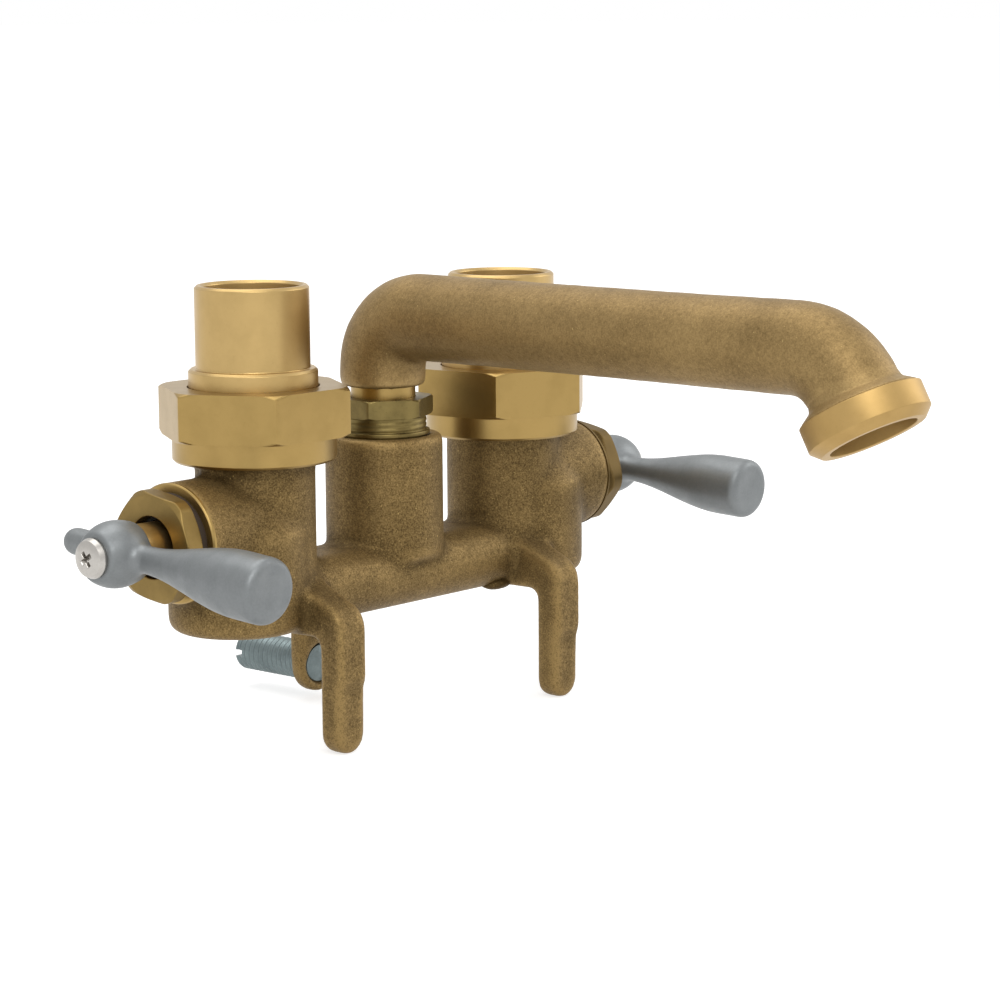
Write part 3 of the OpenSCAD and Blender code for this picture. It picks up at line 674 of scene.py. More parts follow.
class GeometryTree:
    """A Geometry Nodes tree with named inputs."""

    def __init__(self, name: str) -> None:
        """Starts an empty tree.

        Args:
            name: The tree's name.
        """
        self.tree = bpy.data.node_groups.new(name, "GeometryNodeTree")
        self.graph = Graph(self.tree)
        self.keys: dict[str, str] = {}

    def take(self, name: str, kind: str = "NodeSocketFloat") -> Wire:
        """Adds a named input.

        Args:
            name: The input's name.
            kind: Its socket type.

        Returns:
            The wire of the input.
        """
        item = self.tree.interface.new_socket(name=name, in_out="INPUT", socket_type=kind)
        self.keys[name] = item.identifier
        return self.graph.node("NodeGroupInput", output=name)

    def give(self, geometry: Wire, material: Wire) -> None:
        """Ends the tree in Realize Instances and Set Material.

        Args:
            geometry: What the tree has made.
            material: The material that it gets.
        """
        self.tree.interface.new_socket(
            name="Geometry", in_out="OUTPUT", socket_type="NodeSocketGeometry"
        )
        real = self.graph.node("GeometryNodeRealizeInstances", None, {"Geometry": geometry})
        sockets = {"Geometry": real, "Material": material}
        dressed = self.graph.node("GeometryNodeSetMaterial", None, sockets)
        self.graph.node("NodeGroupOutput", None, {"Geometry": dressed})

    def run(self, base: Mesh, values: Mapping[str, Any]) -> Mesh:
        """Runs the tree on a mesh.

        Args:
            base: The mesh that goes in.
            values: The named inputs.

        Returns:
            The plain mesh that comes out.
        """
        holder = linked("tree_holder", base)
        modifier = holder.modifiers.new("tree", "NODES")
        modifier.node_group = self.tree
        for name, value in values.items():
            modifier[self.keys[name]] = value
        return evaluated(holder)


@dataclass(frozen=True)
class Thread:
    """A screw thread: its sizes, and the grid of the wall that is moved."""

    pitch: float
    depth: float
    around: int
    rings: int
    flat: float = 0.12


class ThreadTree(GeometryTree):
    """A rod along Z with a screw thread, made by moving the wall of a cylinder in and out."""

    def __init__(self) -> None:
        """Builds the tree."""
        super().__init__("screw_thread")
        graph = self.graph
        radius, length = self.take("Radius"), self.take("Length")
        pitch, depth, flat = self.take("Pitch"), self.take("Depth"), self.take("Flat")
        around, rings = self.take("Around", "NodeSocketInt"), self.take("Rings", "NodeSocketInt")
        material = self.take("Material", "NodeSocketMaterial")
        rod = graph.node(
            "GeometryNodeMeshCylinder",
            {"fill_type": "NGON"},
            {"Vertices": around, "Side Segments": rings, "Radius": radius, "Depth": length},
        )
        place = graph.node("GeometryNodeInputPosition")
        x, y, z = (graph.node("ShaderNodeSeparateXYZ", None, {0: place}, axis) for axis in range(3))
        phase = (z / pitch - y.angle_to(x) / math.tau).fraction()
        flank = 1 - abs(phase * 2 - 1)
        groove = ((flank - flat) / (1 - 2 * flat)).between(0.0, 1.0)
        run_out = (1 - (length / 2 - abs(z)) / depth).between(0.0, 1.0)
        share = groove.largest(run_out) * depth / radius
        move = graph.node("ShaderNodeCombineXYZ", None, {0: x * share * -1, 1: y * share * -1})
        threaded = graph.node("GeometryNodeSetPosition", None, {"Geometry": rod, "Offset": move})
        self.give(threaded, material)

    def rod(self, name: str, radius: float, length: float, thread: Thread, material: Material) -> Mesh:
        """Makes a threaded rod about the origin.

        Args:
            name: The mesh's name.
            radius: Radius over the thread, in metres.
            length: Length along Z, in metres.
            thread: The thread.
            material: The material.

        Returns:
            The rod.
        """
        values = {
            "Radius": radius,
            "Length": length,
            "Pitch": thread.pitch * MM,
            "Depth": thread.depth * MM,
            "Flat": thread.flat,
            "Around": thread.around,
            "Rings": thread.rings,
            "Material": material,
        }
        return self.run(bpy.data.meshes.new(name), values)


class GrainTree(GeometryTree):
    """Moves a surface in and out by noise, as the sand of a mould leaves it."""

    def __init__(self) -> None:
        """Builds the tree."""
        super().__init__("sand_grain")
        graph = self.graph
        surface = self.take("Surface", "NodeSocketGeometry")
        depth, scale = self.take("Depth"), self.take("Scale")
        material = self.take("Material", "NodeSocketMaterial")
        place = graph.node("GeometryNodeInputPosition")
        sockets = {"Vector": place, "Scale": scale, "Detail": 2.0, "Roughness": 0.55}
        noise = graph.node("ShaderNodeTexNoise", None, sockets)
        normal = graph.node("GeometryNodeInputNormal")
        sockets = {0: normal, "Scale": (noise - 0.5) * depth}
        offset = graph.node("ShaderNodeVectorMath", {"operation": "SCALE"}, sockets)
        sockets = {"Geometry": surface, "Offset": offset}
        grained = graph.node("GeometryNodeSetPosition", None, sockets)
        self.give(grained, material)

    def roughened(self, mesh: Mesh, depth: float, size: float, material: Material) -> Mesh:
        """Gives a mesh its grain.

        Args:
            mesh: The smooth mesh.
            depth: Depth of the grain.
            size: Size of the grain.
            material: The material.

        Returns:
            The grained mesh.
        """
        values = {"Depth": depth * MM, "Scale": 1 / (size * MM), "Material": material}
        return shaded(self.run(mesh, values), CAST_SHARP_DEG)


@dataclass(frozen=True)
class Corner:
    """A corner of a turned outline; `flats` marks what a hexagon cuts."""

    r: float
    z: float
    soft: float = 0.0
    flats: bool = False


@dataclass(frozen=True)
class Hexagon:
    """The six flats that cut a turning."""

    across: float
    turn_deg: float
    soft: float = 0.12

    def cut(self, radii: np.ndarray, angles: np.ndarray) -> np.ndarray:
        """Cuts radii down to the flats, with softly rounded edges.

        Args:
            radii: Radii of the turning, one a row.
            angles: Angles about the axis, one a column.

        Returns:
            The radii by row and column.
        """
        sixth = math.pi / 3
        off = np.mod(angles - math.radians(self.turn_deg), sixth) - sixth / 2
        flat = self.across / 2 / np.cos(off)
        gap = (radii[:, None] - flat[None, :]) / self.soft
        return np.minimum(radii[:, None], flat[None, :]) - self.soft * np.log1p(np.exp(-np.abs(gap)))


def hex_corners(
    radius: float, chamfer: float, foot: float, top: float, softs: Sequence[float]
) -> tuple[Corner, ...]:
    """Outline of a hex whose corners are turned off at both ends.

    Args:
        radius: Radius over the corners.
        chamfer: How far the ends are turned down.
        foot: Height of the lower end.
        top: Height of the upper end.
        softs: Rounding of the four corners of the outline.

    Returns:
        The four corners, from the foot up.
    """
    end_r = radius - chamfer
    rise = chamfer * math.tan(math.radians(HEX_CORNER_DEG))
    places = ((end_r, foot), (radius, foot + rise), (radius, top - rise), (end_r, top))
    return tuple(Corner(*place, soft, True) for place, soft in zip(places, softs))


@dataclass(frozen=True)
class Turning:
    """A closed outline spun about Z, in millimetres, counter-clockwise as radius and height."""

    corners: tuple[Corner, ...]
    hexagon: Hexagon | None = None
    around: int = 144
    arc_steps: int = 5
    flat_step: float = 0.35
    corner_room: float = 0.45

    def _outline(self) -> tuple[np.ndarray, np.ndarray]:
        """Rounds the corners and divides the long flats.

        Returns:
            The points, and whether a hexagon cuts each.
        """
        points: list[np.ndarray] = []
        cut: list[bool] = []
        count = len(self.corners)
        for i, corner in enumerate(self.corners):
            before, after = self.corners[i - 1], self.corners[(i + 1) % count]
            here = np.array((corner.r, corner.z))
            back = np.array((before.r, before.z)) - here
            ahead = np.array((after.r, after.z)) - here
            room = self.corner_room * min(np.linalg.norm(back), np.linalg.norm(ahead))
            back, ahead = back / np.linalg.norm(back), ahead / np.linalg.norm(ahead)
            half = math.acos(float(np.clip(back @ ahead, -1, 1))) / 2
            run = min(room, corner.soft / math.tan(half)) if corner.soft else 0.0
            ends = (here + back * run, here + ahead * run)
            steps = self.arc_steps if run else 0
            for k in range(steps + 1):
                t = k / steps if steps else 0.0
                points.append((1 - t) ** 2 * ends[0] + 2 * t * (1 - t) * here + t * t * ends[1])
                cut.append(corner.flats)
            if corner.flats and after.flats:
                gap = float(np.hypot(after.r - corner.r, after.z - corner.z))
                pieces = max(1, round(gap / self.flat_step))
                stop = np.array((after.r, after.z))
                for k in range(1, pieces):
                    points.append(ends[1] + (stop - ends[1]) * k / pieces)
                    cut.append(True)
        return np.array(points), np.array(cut)

    def mesh(self, name: str, place: Matrix) -> Mesh:
        """Spins the outline.

        Args:
            name: The mesh's name.
            place: From the outline's millimetres to the CAD frame.

        Returns:
            The closed mesh.
        """
        outline, cut = self._outline()
        angles = np.arange(self.around) * math.tau / self.around
        radii = np.repeat(outline[:, :1], self.around, axis=1)
        if self.hexagon:
            angles = angles + math.radians(self.hexagon.turn_deg)
            radii[cut] = self.hexagon.cut(outline[cut, 0], angles)
        heights = np.repeat(outline[:, 1:], self.around, axis=1)
        spun = np.stack((radii * np.cos(angles), radii * np.sin(angles), heights), axis=-1)
        rows = np.arange(len(outline))
        columns = np.arange(self.around)
        row, column = np.meshgrid(rows, columns, indexing="ij")
        above, beside = (row + 1) % len(rows), (column + 1) % self.around
        corners = [(row, column), (row, beside), (above, beside), (above, column)]
        faces = np.stack([r * self.around + c for r, c in corners], axis=-1)
        mesh = bpy.data.meshes.new(name)
        mesh.from_pydata(spun.reshape(-1, 3).tolist(), [], faces.reshape(-1, 4).tolist())
        welded(mesh)
        mesh.transform(place)
        return shaded(mesh, TURNED_SHARP_DEG)


def upright(x: float, z: float) -> Matrix:
    """Place of a turning that stands at X with its foot at Z, both in metres."""
    return Matrix.Translation((x, 0.0, z)) @ Matrix.Scale(MM, 4)


def outward(side: Side, x: float) -> Matrix:
    """Place of a turning that points outwards along the valve line.

    Args:
        side: The side that it points to.
        x: Where it starts, in metres.

    Returns:
        From the turning's millimetres to the CAD frame.
    """
    sign = side.value
    line_z = sum(corner.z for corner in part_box(side.node("bonnet"))) / 2
    turn = Matrix(((0, 0, sign, 0), (0, sign, 0, 0), (-1, 0, 0, 0), (0, 0, 0, 1)))
    return Matrix.Translation((x, 0.0, line_z)) @ turn @ Matrix.Scale(MM, 4)


def outer_x(side: Side, node: str) -> float:
    """X of a CAD node's outer end on a side, in metres."""
    low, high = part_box(node)
    return high.x if side is Side.RIGHT else low.x


@dataclass(frozen=True)
class CastSkin:
    """The soft skin of a casting, laid over the CAD solid: fillets, rounded edges and grain."""

    voxel: float
    fillet: float
    edge: float
    rounds: int
    grain_depth: float
    grain_size: float
    weld_gap: float = 1e-4
    shrink: float = 0.5
    give_back: float = -0.53
    wear_and_shade_rounds: int = 14
    wear_and_shade_reach: float = 0.22

    def over(self, node: str, material: Material, grain: GrainTree) -> Mesh:
        """Makes the skin of a CAD node.

        Args:
            node: The CAD node.
            material: The material of the casting.
            grain: The tree that roughens the skin.

        Returns:
            The skin, in the CAD frame.
        """
        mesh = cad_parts[node].data.copy()
        mesh.transform(Matrix.Scale(1 / MM, 4))
        welded(mesh, self.weld_gap)
        mesh = self._voxels(mesh)
        for reach in (self.fillet, -self.fillet, -self.edge, self.edge):
            self._move(mesh, self._read(mesh, "co") + reach * self._read(mesh, "normal"))
            mesh = self._voxels(mesh)
        passes = (self.shrink, self.give_back) * self.rounds
        points = self._relaxed(mesh, self._read(mesh, "co"), passes)
        self._move(mesh, points)
        # Each point's height above its smoothed neighbours. The cast material paints ridges lighter
        # (worn metal and highlight) and hollows darker (shade).
        set_wear_and_shade(mesh, self._wear_and_shade(mesh, points))
        mesh.transform(Matrix.Scale(MM, 4))
        return grain.roughened(mesh, self.grain_depth, self.grain_size, material)

    def _voxels(self, mesh: Mesh) -> Mesh:
        """Remeshes a closed mesh on an even grid.

        Args:
            mesh: The mesh, in millimetres.

        Returns:
            The new mesh.
        """
        holder = linked("voxel_holder", mesh)
        remesh = holder.modifiers.new("voxels", "REMESH")
        remesh.mode = "VOXEL"
        remesh.voxel_size = self.voxel
        remesh.adaptivity = 0.0
        return evaluated(holder)

    @staticmethod
    def _read(mesh: Mesh, key: str) -> np.ndarray:
        """Reads a vector of each point.

        Args:
            mesh: The mesh.
            key: "co" for the places and "normal" for the normals.

        Returns:
            The vectors, one a row.
        """
        values = np.empty(len(mesh.vertices) * 3)
        mesh.vertices.foreach_get(key, values)
        return values.reshape(-1, 3)

    @staticmethod
    def _move(mesh: Mesh, points: np.ndarray) -> None:
        """Gives the mesh's points new places."""
        mesh.vertices.foreach_set("co", points.ravel())
        mesh.update()

    @staticmethod
    def _relaxed(mesh: Mesh, points: np.ndarray, shares: Sequence[float]) -> np.ndarray:
        """Smooths points by moving each towards the mean of its neighbours.

        Args:
            mesh: The mesh that gives the neighbours.
            points: The points.
            shares: How far each pass goes; a pass below zero gives back the lost volume.

        Returns:
            The smoothed points.
        """
        ends = np.empty(len(mesh.edges) * 2, dtype=np.int64)
        mesh.edges.foreach_get("vertices", ends)
        first, second = ends.reshape(-1, 2).T
        size = len(points)
        degree = np.bincount(ends, minlength=size).clip(1)
        points = points.copy()
        for share in shares:
            for axis in range(3):
                line = points[:, axis]
                total = np.bincount(first, line[second], size) + np.bincount(second, line[first], size)
                points[:, axis] = line + share * (total / degree - line)
        return points

    def _wear_and_shade(self, mesh: Mesh, points: np.ndarray) -> np.ndarray:
        """Measures how far each point stands proud.

        Args:
            mesh: The mesh.
            points: Its points.

        Returns:
            The value of each point, from 0 in a hollow, painted darker as shade, to 1 on a ridge,
            painted lighter as worn metal and highlight.
        """
        proud = points - self._relaxed(mesh, points, (self.shrink,) * self.wear_and_shade_rounds)
        height = np.einsum("ij,ij->i", proud, self._read(mesh, "normal"))
        return np.clip(0.5 + 0.5 * height / self.wear_and_shade_reach, 0, 1)


@dataclass
class BodyCasting:
    """The cast body, with the machined faces of its two side bosses."""

    finishes: Finishes
    grain: GrainTree
    boss_d: float = 27.2
    boss_bore: float = 20.0
    mark_at: Triple = (31.5, -7.5, 0.85)
    mark_size: Triple = (4.4, 3.2, 1.6)
    mark_grain_depth: float = 0.3
    mark_grain_size: float = 3.0
    face_depth: float = 0.9
    face_edge: float = 0.35

    def build(self) -> None:
        """Builds the casting, the mark of its gate and the two faced rings."""
        skin = CastSkin(voxel=0.64, fillet=0.7, edge=0.5, rounds=8, grain_depth=0.09, grain_size=1.5)
        mesh = skin.over("body_casting", self.finishes.cast, self.grain)
        shown("body_skin", mesh, self.finishes.cast, Body.ROOT, "cast_brass", "body_casting")
        self._gate_mark()
        for side in Side:
            self._boss_face(side)

    def _gate_mark(self) -> None:
        """Low stub that the gate of the mould left under the bridge."""
        ball = bmesh.ops.create_uvsphere
        mesh = primitive("gate_mark", ball, u_segments=48, v_segments=24, radius=MM)
        place = Matrix.Translation(Vector(self.mark_at) * MM)
        mesh.transform(place @ Matrix.Diagonal((*self.mark_size, 1.0)))
        # The stub gets no ridge and hollow values, so the cast material paints it darker all over, as
        # painted shade.
        cast = self.finishes.cast
        mesh = self.grain.roughened(mesh, self.mark_grain_depth, self.mark_grain_size, cast)
        shown("gate_mark", mesh, cast, Body.ROOT, "cast_brass")

    def _boss_face(self, side: Side) -> None:
        """Faced rim of a boss, which the lathe left bright.

        Args:
            side: The side of the boss.
        """
        outer, inner = self.boss_d / 2, self.boss_bore / 2
        ring = Turning((
            Corner(inner, -self.face_depth),
            Corner(outer, -self.face_depth),
            Corner(outer, -self.face_edge, 0.15),
            Corner(outer - self.face_edge, 0.0, 0.12),
            Corner(inner, 0.0),
        ))
        mesh = ring.mesh("boss_face", outward(side, outer_x(side, "body_casting")))
        finish = self.finishes.faced if side is Side.LEFT else self.finishes.aged
        shown(f"{side.word}_boss_face", mesh, finish, Body.ROOT, "cast_brass")


@dataclass
class UnionInlet:
    """A union nut and the sweat tailpiece that it holds on a neck."""

    side: Side
    finishes: Finishes
    across_flats: float = 39.5
    hex_h: float = 11.2
    hex_chamfer: float = 1.3
    skirt_d: float = 37.4
    skirt_h: float = 5.7
    thread_d: float = 33.2
    lip_t: float = 3.0
    lip_bore: float = 30.0
    flange_d: float = 32.4
    flange_t: float = 2.5
    collar_d: float = 29.4
    tail_od: float = 26.0
    cup_bore: float = 22.3
    cup_h: float = 19.0
    tail_len: float = 18.8
    way_d: float = 19.0
    edge: float = 0.6

    def build(self) -> None:
        """Builds the nut and the tailpiece."""
        self._nut()
        self._tailpiece()

    def _axis_x(self) -> float:
        """Place of the inlet axis, in metres."""
        return sum(corner.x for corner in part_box(self.side.node("tailpiece"))) / 2

    def _nut(self) -> None:
        """Hex nut with a round skirt and an inward lip."""
        node = self.side.node("union_nut")
        height = self.skirt_h + self.hex_h
        corner_r = self.across_flats / math.sqrt(3)
        skirt_r = self.skirt_d / 2
        nut = Turning(
            (
                Corner(self.thread_d / 2, 0.0, 0.3),
                Corner(skirt_r - self.edge, 0.0, 0.15),
                Corner(skirt_r, self.edge, 0.25),
                Corner(skirt_r, self.skirt_h, 0.2),
                *hex_corners(corner_r, self.hex_chamfer, self.skirt_h, height, (0.2, 0.3, 0.3, 0.2)),
                Corner(self.lip_bore / 2, height, 0.3),
                Corner(self.lip_bore / 2, height - self.lip_t),
                Corner(self.thread_d / 2, height - self.lip_t),
            ),
            Hexagon(self.across_flats, NUT_TURNS_DEG[self.side]),
            around=240,
        )
        mesh = nut.mesh(node, upright(self._axis_x(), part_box(node)[0].z))
        shown(f"{node}_turned", mesh, self.finishes.nut, Body.ROOT, "turned_brass", node)

    def _tailpiece(self) -> None:
        """Flange inside the nut, collar through its lip and the solder cup on top."""
        node = self.side.node("tailpiece")
        low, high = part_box(node)
        top = (high.z - low.z) / MM
        collar_top = top - self.tail_len
        collar_r, tail_r, cup_r = self.collar_d / 2, self.tail_od / 2, self.cup_bore / 2
        tail = Turning((
            Corner(self.way_d / 2, 0.0),
            Corner(self.flange_d / 2, 0.0),
            Corner(self.flange_d / 2, self.flange_t),
            Corner(collar_r, self.flange_t),
            Corner(collar_r, collar_top - self.edge, 0.2),
            Corner(collar_r - self.edge, collar_top, 0.2),
            Corner(tail_r, collar_top, 0.35),
            Corner(tail_r, top - self.edge, 0.25),
            Corner(tail_r - self.edge, top, 0.2),
            Corner(cup_r + self.edge, top, 0.2),
            Corner(cup_r, top - self.edge, 0.25),
            Corner(cup_r, top - self.cup_h, 0.3),
            Corner(self.way_d / 2, top - self.cup_h, 0.3),
        ))
        mesh = tail.mesh(node, upright(self._axis_x(), low.z))
        shown(f"{node}_turned", mesh, self.finishes.tail, Body.ROOT, "turned_brass", node)


@dataclass
class Valve:
    """What shows of a valve: the bonnet, the lever handle and the screw that holds it."""

    side: Side
    finishes: Finishes
    grain: GrainTree
    turn_deg: float = 40.0
    across_flats: float = 23.6
    round_d: float = 25.8
    bonnet_t: float = 4.6
    bonnet_chamfer: float = 1.2
    mouth_d: float = 14.0
    mouth_h: float = 5.2
    sleeve_d: float = 19.8
    stem_thread_d: float = 13.0
    thread_stop: float = 2.9
    stem_bore: float = 11.5
    head_d: float = 9.0
    head_h: float = 2.4
    head_edge: float = 0.1
    rim_share: float = 0.3
    crown_inset: float = 0.5
    crown_drop: float = 0.38
    crown_rings: int = 34
    screw_d: float = 4.0
    recess_turn_deg: float = 35.0
    recess_foot: float = 0.4
    recess_arm: float = 1.75
    recess_w: float = 0.9
    recess_h: float = 1.6
    recess_wall: float = 0.22
    recess_ramp: float = 0.7
    recess_end: float = 0.2

    def build(self) -> None:
        """Builds the pieces and dresses the nodes inside."""
        self._bonnet()
        self._handle()
        self._handle_screw()
        self._dress()

    def _start_x(self, node: str, reach: float) -> float:
        """X that lies a reach inside a node's outer end, in metres."""
        return outer_x(self.side, node) - self.side.value * reach * MM

    def _bonnet(self) -> None:
        """Hex flange with turned corners, a mouth round the stem and the sleeve in the boss."""
        node = self.side.node("bonnet")
        low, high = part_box(node)
        sleeve_len = (high.x - low.x) / MM - self.bonnet_t
        mouth_floor = self.bonnet_t - self.mouth_h
        softs = (0.1, 0.3, 0.3, 0.3)
        bonnet = Turning(
            (
                Corner(self.stem_thread_d / 2, -sleeve_len),
                Corner(self.sleeve_d / 2, -sleeve_len),
                Corner(self.sleeve_d / 2, 0.0),
                *hex_corners(self.round_d / 2, self.bonnet_chamfer, 0.0, self.bonnet_t, softs),
                Corner(self.mouth_d / 2, self.bonnet_t, 0.35),
                Corner(self.mouth_d / 2, mouth_floor, 0.2),
                Corner(self.stem_bore / 2, mouth_floor),
                Corner(self.stem_bore / 2, -self.thread_stop),
                Corner(self.stem_thread_d / 2, -self.thread_stop),
            ),
            Hexagon(self.across_flats, self.side.value * self.turn_deg),
            around=180,
        )
        mesh = bonnet.mesh(node, outward(self.side, self._start_x(node, self.bonnet_t)))
        finish = self.finishes.valve if self.side is Side.LEFT else self.finishes.aged
        shown(f"{node}_turned", mesh, finish, Body.ROOT, "turned_brass", node)

    def _handle(self) -> None:
        """Lever handle with its hub blended in, as the die leaves it."""
        node = self.side.node("handle")
        skin = CastSkin(voxel=0.34, fillet=1.6, edge=0.5, rounds=10, grain_depth=0.04, grain_size=3.0)
        mesh = skin.over(node, self.finishes.grey, self.grain)
        shown(f"{node}_skin", mesh, self.finishes.grey, Body.handle(self.side), "grey_metal", node)

    def _handle_screw(self) -> None:
        """Pan-head screw with a cross recess sunk in its crown."""
        node = self.side.node("handle_screw")
        low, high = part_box(node)
        length = (high.x - low.x) / MM - self.head_h
        head_r, shank_r = self.head_d / 2, self.screw_d / 2
        rings = np.linspace(head_r - self.crown_inset, 0.0, self.crown_rings)
        screw = Turning(
            (
                Corner(0.0, -length),
                Corner(shank_r, -length, 0.3),
                Corner(shank_r, 0.0),
                Corner(head_r - self.head_edge, 0.0, 0.1),
                Corner(head_r, self.head_h * self.rim_share, 0.3),
                *[Corner(r, self._crown(r)) for r in rings],
            ),
            around=160,
        )
        mesh = screw.mesh(node, Matrix.Identity(4))
        self._sink_recess(mesh)
        mesh.transform(outward(self.side, self._start_x(node, self.head_h)))
        body = Body.handle(self.side)
        shown(f"{node}_turned", mesh, self.finishes.stainless, body, "stainless", node)

    def _crown(self, r: float) -> float:
        """Height of the screw's crown at a radius."""
        share = r / (self.head_d / 2)
        return self.head_h * (1 - self.crown_drop * share**4)

    def _sink_recess(self, mesh: Mesh) -> None:
        """Presses the cross recess into a screw's crown.

        Args:
            mesh: The screw, along Z and in millimetres.
        """
        turn = math.radians(self.recess_turn_deg)
        for point in mesh.vertices:
            x = point.co.x * math.cos(turn) + point.co.y * math.sin(turn)
            y = point.co.y * math.cos(turn) - point.co.x * math.sin(turn)
            if point.co.z < self.head_h * self.recess_foot:
                continue
            arms = (self._slot(x, y), self._slot(y, x))
            point.co.z -= self.recess_h * max(arms)
        mesh.update()

    def _slot(self, along: float, across: float) -> float:
        """Measures one slot of the recess.

        Args:
            along: Place along the slot.
            across: Place across the slot.

        Returns:
            The share of the recess's depth there.
        """
        side = (self.recess_w / 2 - abs(across)) / self.recess_wall + 0.5
        end = (self.recess_arm - abs(along)) / self.recess_ramp + self.recess_end
        return min(1.0, max(0.0, min(side, end)))

    def _dress(self) -> None:
        """Gives the nodes that stay from the CAD their finishes."""
        finishes = self.finishes
        looks = {
            "stem": finishes.tail,
            "valve_seat": finishes.faced,
            "washer_screw": finishes.faced,
            "seat_washer": finishes.rubber,
            "packing": finishes.rubber,
            "bonnet_gasket": finishes.fibre,
            "union_gasket": finishes.fibre,
        }
        for piece, material in looks.items():
            dress(self.side.node(piece), material)


@dataclass
class Spout:
    """The swinging spout with its turned outlet, and the gland nut that it turns in."""

    finishes: Finishes
    grain: GrainTree
    threads: ThreadTree
    neck_step_r: float = 10.5
    neck_lap: float = 2.4
    neck_sink: float = 0.62
    neck_round: float = 1.8
    neck_rim: float = 0.12
    neck_wear_and_shade: float = 0.85
    cone_foot: float = 0.3
    band_foot: float = 2.45
    band_rise: float = 0.2
    band_rim: float = 0.15
    band_top: float = 8.0
    outlet_len: float = 10.0
    collar_r: float = 13.7
    collar_chamfer: float = 2.0
    outlet_r: float = 9.8
    ledge: float = 3.0
    spigot_r: float = 8.2
    spigot_bore_r: float = 7.0
    spigot_len: float = 2.8
    bend_end: Triple = (0.0, -134.588, 60.321)
    nut_turn_deg: float = 26.6
    nut_across: float = 21.2
    nut_hex_h: float = 4.4
    nut_chamfer: float = 0.7
    nut_thread_d: float = 20.4
    nut_bore: float = 15.4
    nut_flange_d: float = 22.0
    nut_flange_t: float = 1.0
    nut_grip: float = 11.2
    nut_thread: Thread = Thread(pitch=1.27, depth=0.12, around=96, rings=60)
    bore_ease: float = 0.3
    bore_over: float = 1.0

    def build(self) -> None:
        """Builds the arm, the collar and the nut, and dresses the pieces inside the post."""
        skin = CastSkin(voxel=0.6, fillet=0.8, edge=0.4, rounds=8, grain_depth=0.35, grain_size=8.0)
        mesh = skin.over("spout", self.finishes.arm, self.grain)
        shown("spout_skin", mesh, self.finishes.arm, Body.SPOUT, "cast_brass", "spout")
        self._collar()
        self._nut()
        self._nut_thread()
        dress("spout_shank", self.finishes.nut)
        dress("spout_retaining_ring", self.finishes.stainless)
        dress("spout_o_ring", self.finishes.rubber)

    def _collar(self) -> None:
        """Collar on the end of the arm: the neck as cast and the band that the lathe cut."""
        turn = Vector(UP).rotation_difference(Vector(OUTLET_AXIS).normalized()).to_matrix().to_4x4()
        foot = Matrix.Translation(Vector(self.bend_end) * MM)
        place = foot @ turn @ Matrix.Scale(MM, 4)
        neck = Turning((
            Corner(self.spigot_r, -self.neck_lap),
            Corner(self.neck_step_r - self.neck_sink, -self.neck_lap),
            Corner(self.neck_step_r, self.cone_foot, self.neck_round),
            Corner(self.collar_r - self.neck_rim, self.band_foot, 0.3),
            Corner(self.spigot_r, self.band_foot),
        ), around=180).mesh("outlet_neck", place)
        # One even value over the whole neck, high as on a ridge, so the arm's material paints the neck
        # lighter: painted light.
        set_wear_and_shade(neck, np.full(len(neck.vertices), self.neck_wear_and_shade))
        band = Turning((
            Corner(self.spigot_bore_r, -self.spigot_len),
            Corner(self.spigot_r, -self.spigot_len),
            Corner(self.spigot_r, self.band_foot),
            Corner(self.collar_r - self.band_rim, self.band_foot, 0.1),
            Corner(self.collar_r, self.band_foot + self.band_rise, 0.2),
            Corner(self.collar_r, self.band_top, 0.35),
            Corner(self.collar_r - self.collar_chamfer, self.outlet_len, 0.25),
            Corner(self.outlet_r, self.outlet_len, 0.25),
            Corner(self.outlet_r, self.ledge, 0.3),
            Corner(self.spigot_bore_r, self.ledge, 0.2),
        ), around=180).mesh("outlet_collar", place)
        outlet = self.finishes.outlet
        shown("outlet_collar_turned", band, outlet, Body.SPOUT, "turned_brass", "outlet_collar")
        shown("outlet_neck", neck, self.finishes.arm, Body.SPOUT, "turned_brass")

    def _nut(self) -> None:
        """Hex of the gland nut, its seat flange and its core."""
        low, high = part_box("spout_nut")
        height = (high.z - low.z) / MM
        hex_foot = height - self.nut_hex_h
        core_r = self.nut_thread_d / 2 - self.nut_thread.depth
        corner_r = self.nut_across / math.sqrt(3)
        flange_r = self.nut_flange_d / 2
        nut = Turning(
            (
                Corner(self.nut_bore / 2, 0.0),
                Corner(core_r, 0.0),
                Corner(core_r, self.nut_grip),
                Corner(flange_r, self.nut_grip, 0.15),
                Corner(flange_r, self.nut_grip + self.nut_flange_t, 0.3),
                Corner(core_r, self.nut_grip + self.nut_flange_t, 0.2),
                Corner(core_r, hex_foot, 0.2),
                *hex_corners(corner_r, self.nut_chamfer, hex_foot, height, (0.2, 0.25, 0.25, 0.2)),
                Corner(self.nut_bore / 2, height, 0.2),
            ),
            Hexagon(self.nut_across, self.nut_turn_deg),
            around=180,
        )
        mesh = nut.mesh("spout_nut", upright(0.0, low.z))
        shown("spout_nut_turned", mesh, self.finishes.dark, Body.ROOT, "dark_brass", "spout_nut")

    def _nut_thread(self) -> None:
        """Thread that shows between the post and the hex."""
        low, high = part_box("spout_nut")
        foot = low.z + self.nut_grip * MM
        length = high.z - self.nut_hex_h * MM - foot
        radius = self.nut_thread_d / 2 * MM
        rod = self.threads.rod("nut_thread", radius, length, self.nut_thread, self.finishes.dark)
        rod.transform(Matrix.Translation((0.0, 0.0, foot + length / 2)))
        bore_r = self.nut_bore / 2 + self.bore_ease
        bore_top = length / MM + self.bore_over
        bore = Turning((
            Corner(0.0, -self.bore_over),
            Corner(bore_r, -self.bore_over),
            Corner(bore_r, bore_top),
            Corner(0.0, bore_top),
        ), around=96).mesh("nut_bore", upright(0.0, foot))
        mesh = shaded(carved(rod, bore), THREAD_SHARP_DEG)
        shown("spout_nut_thread", mesh, self.finishes.dark, Body.ROOT, "dark_brass")


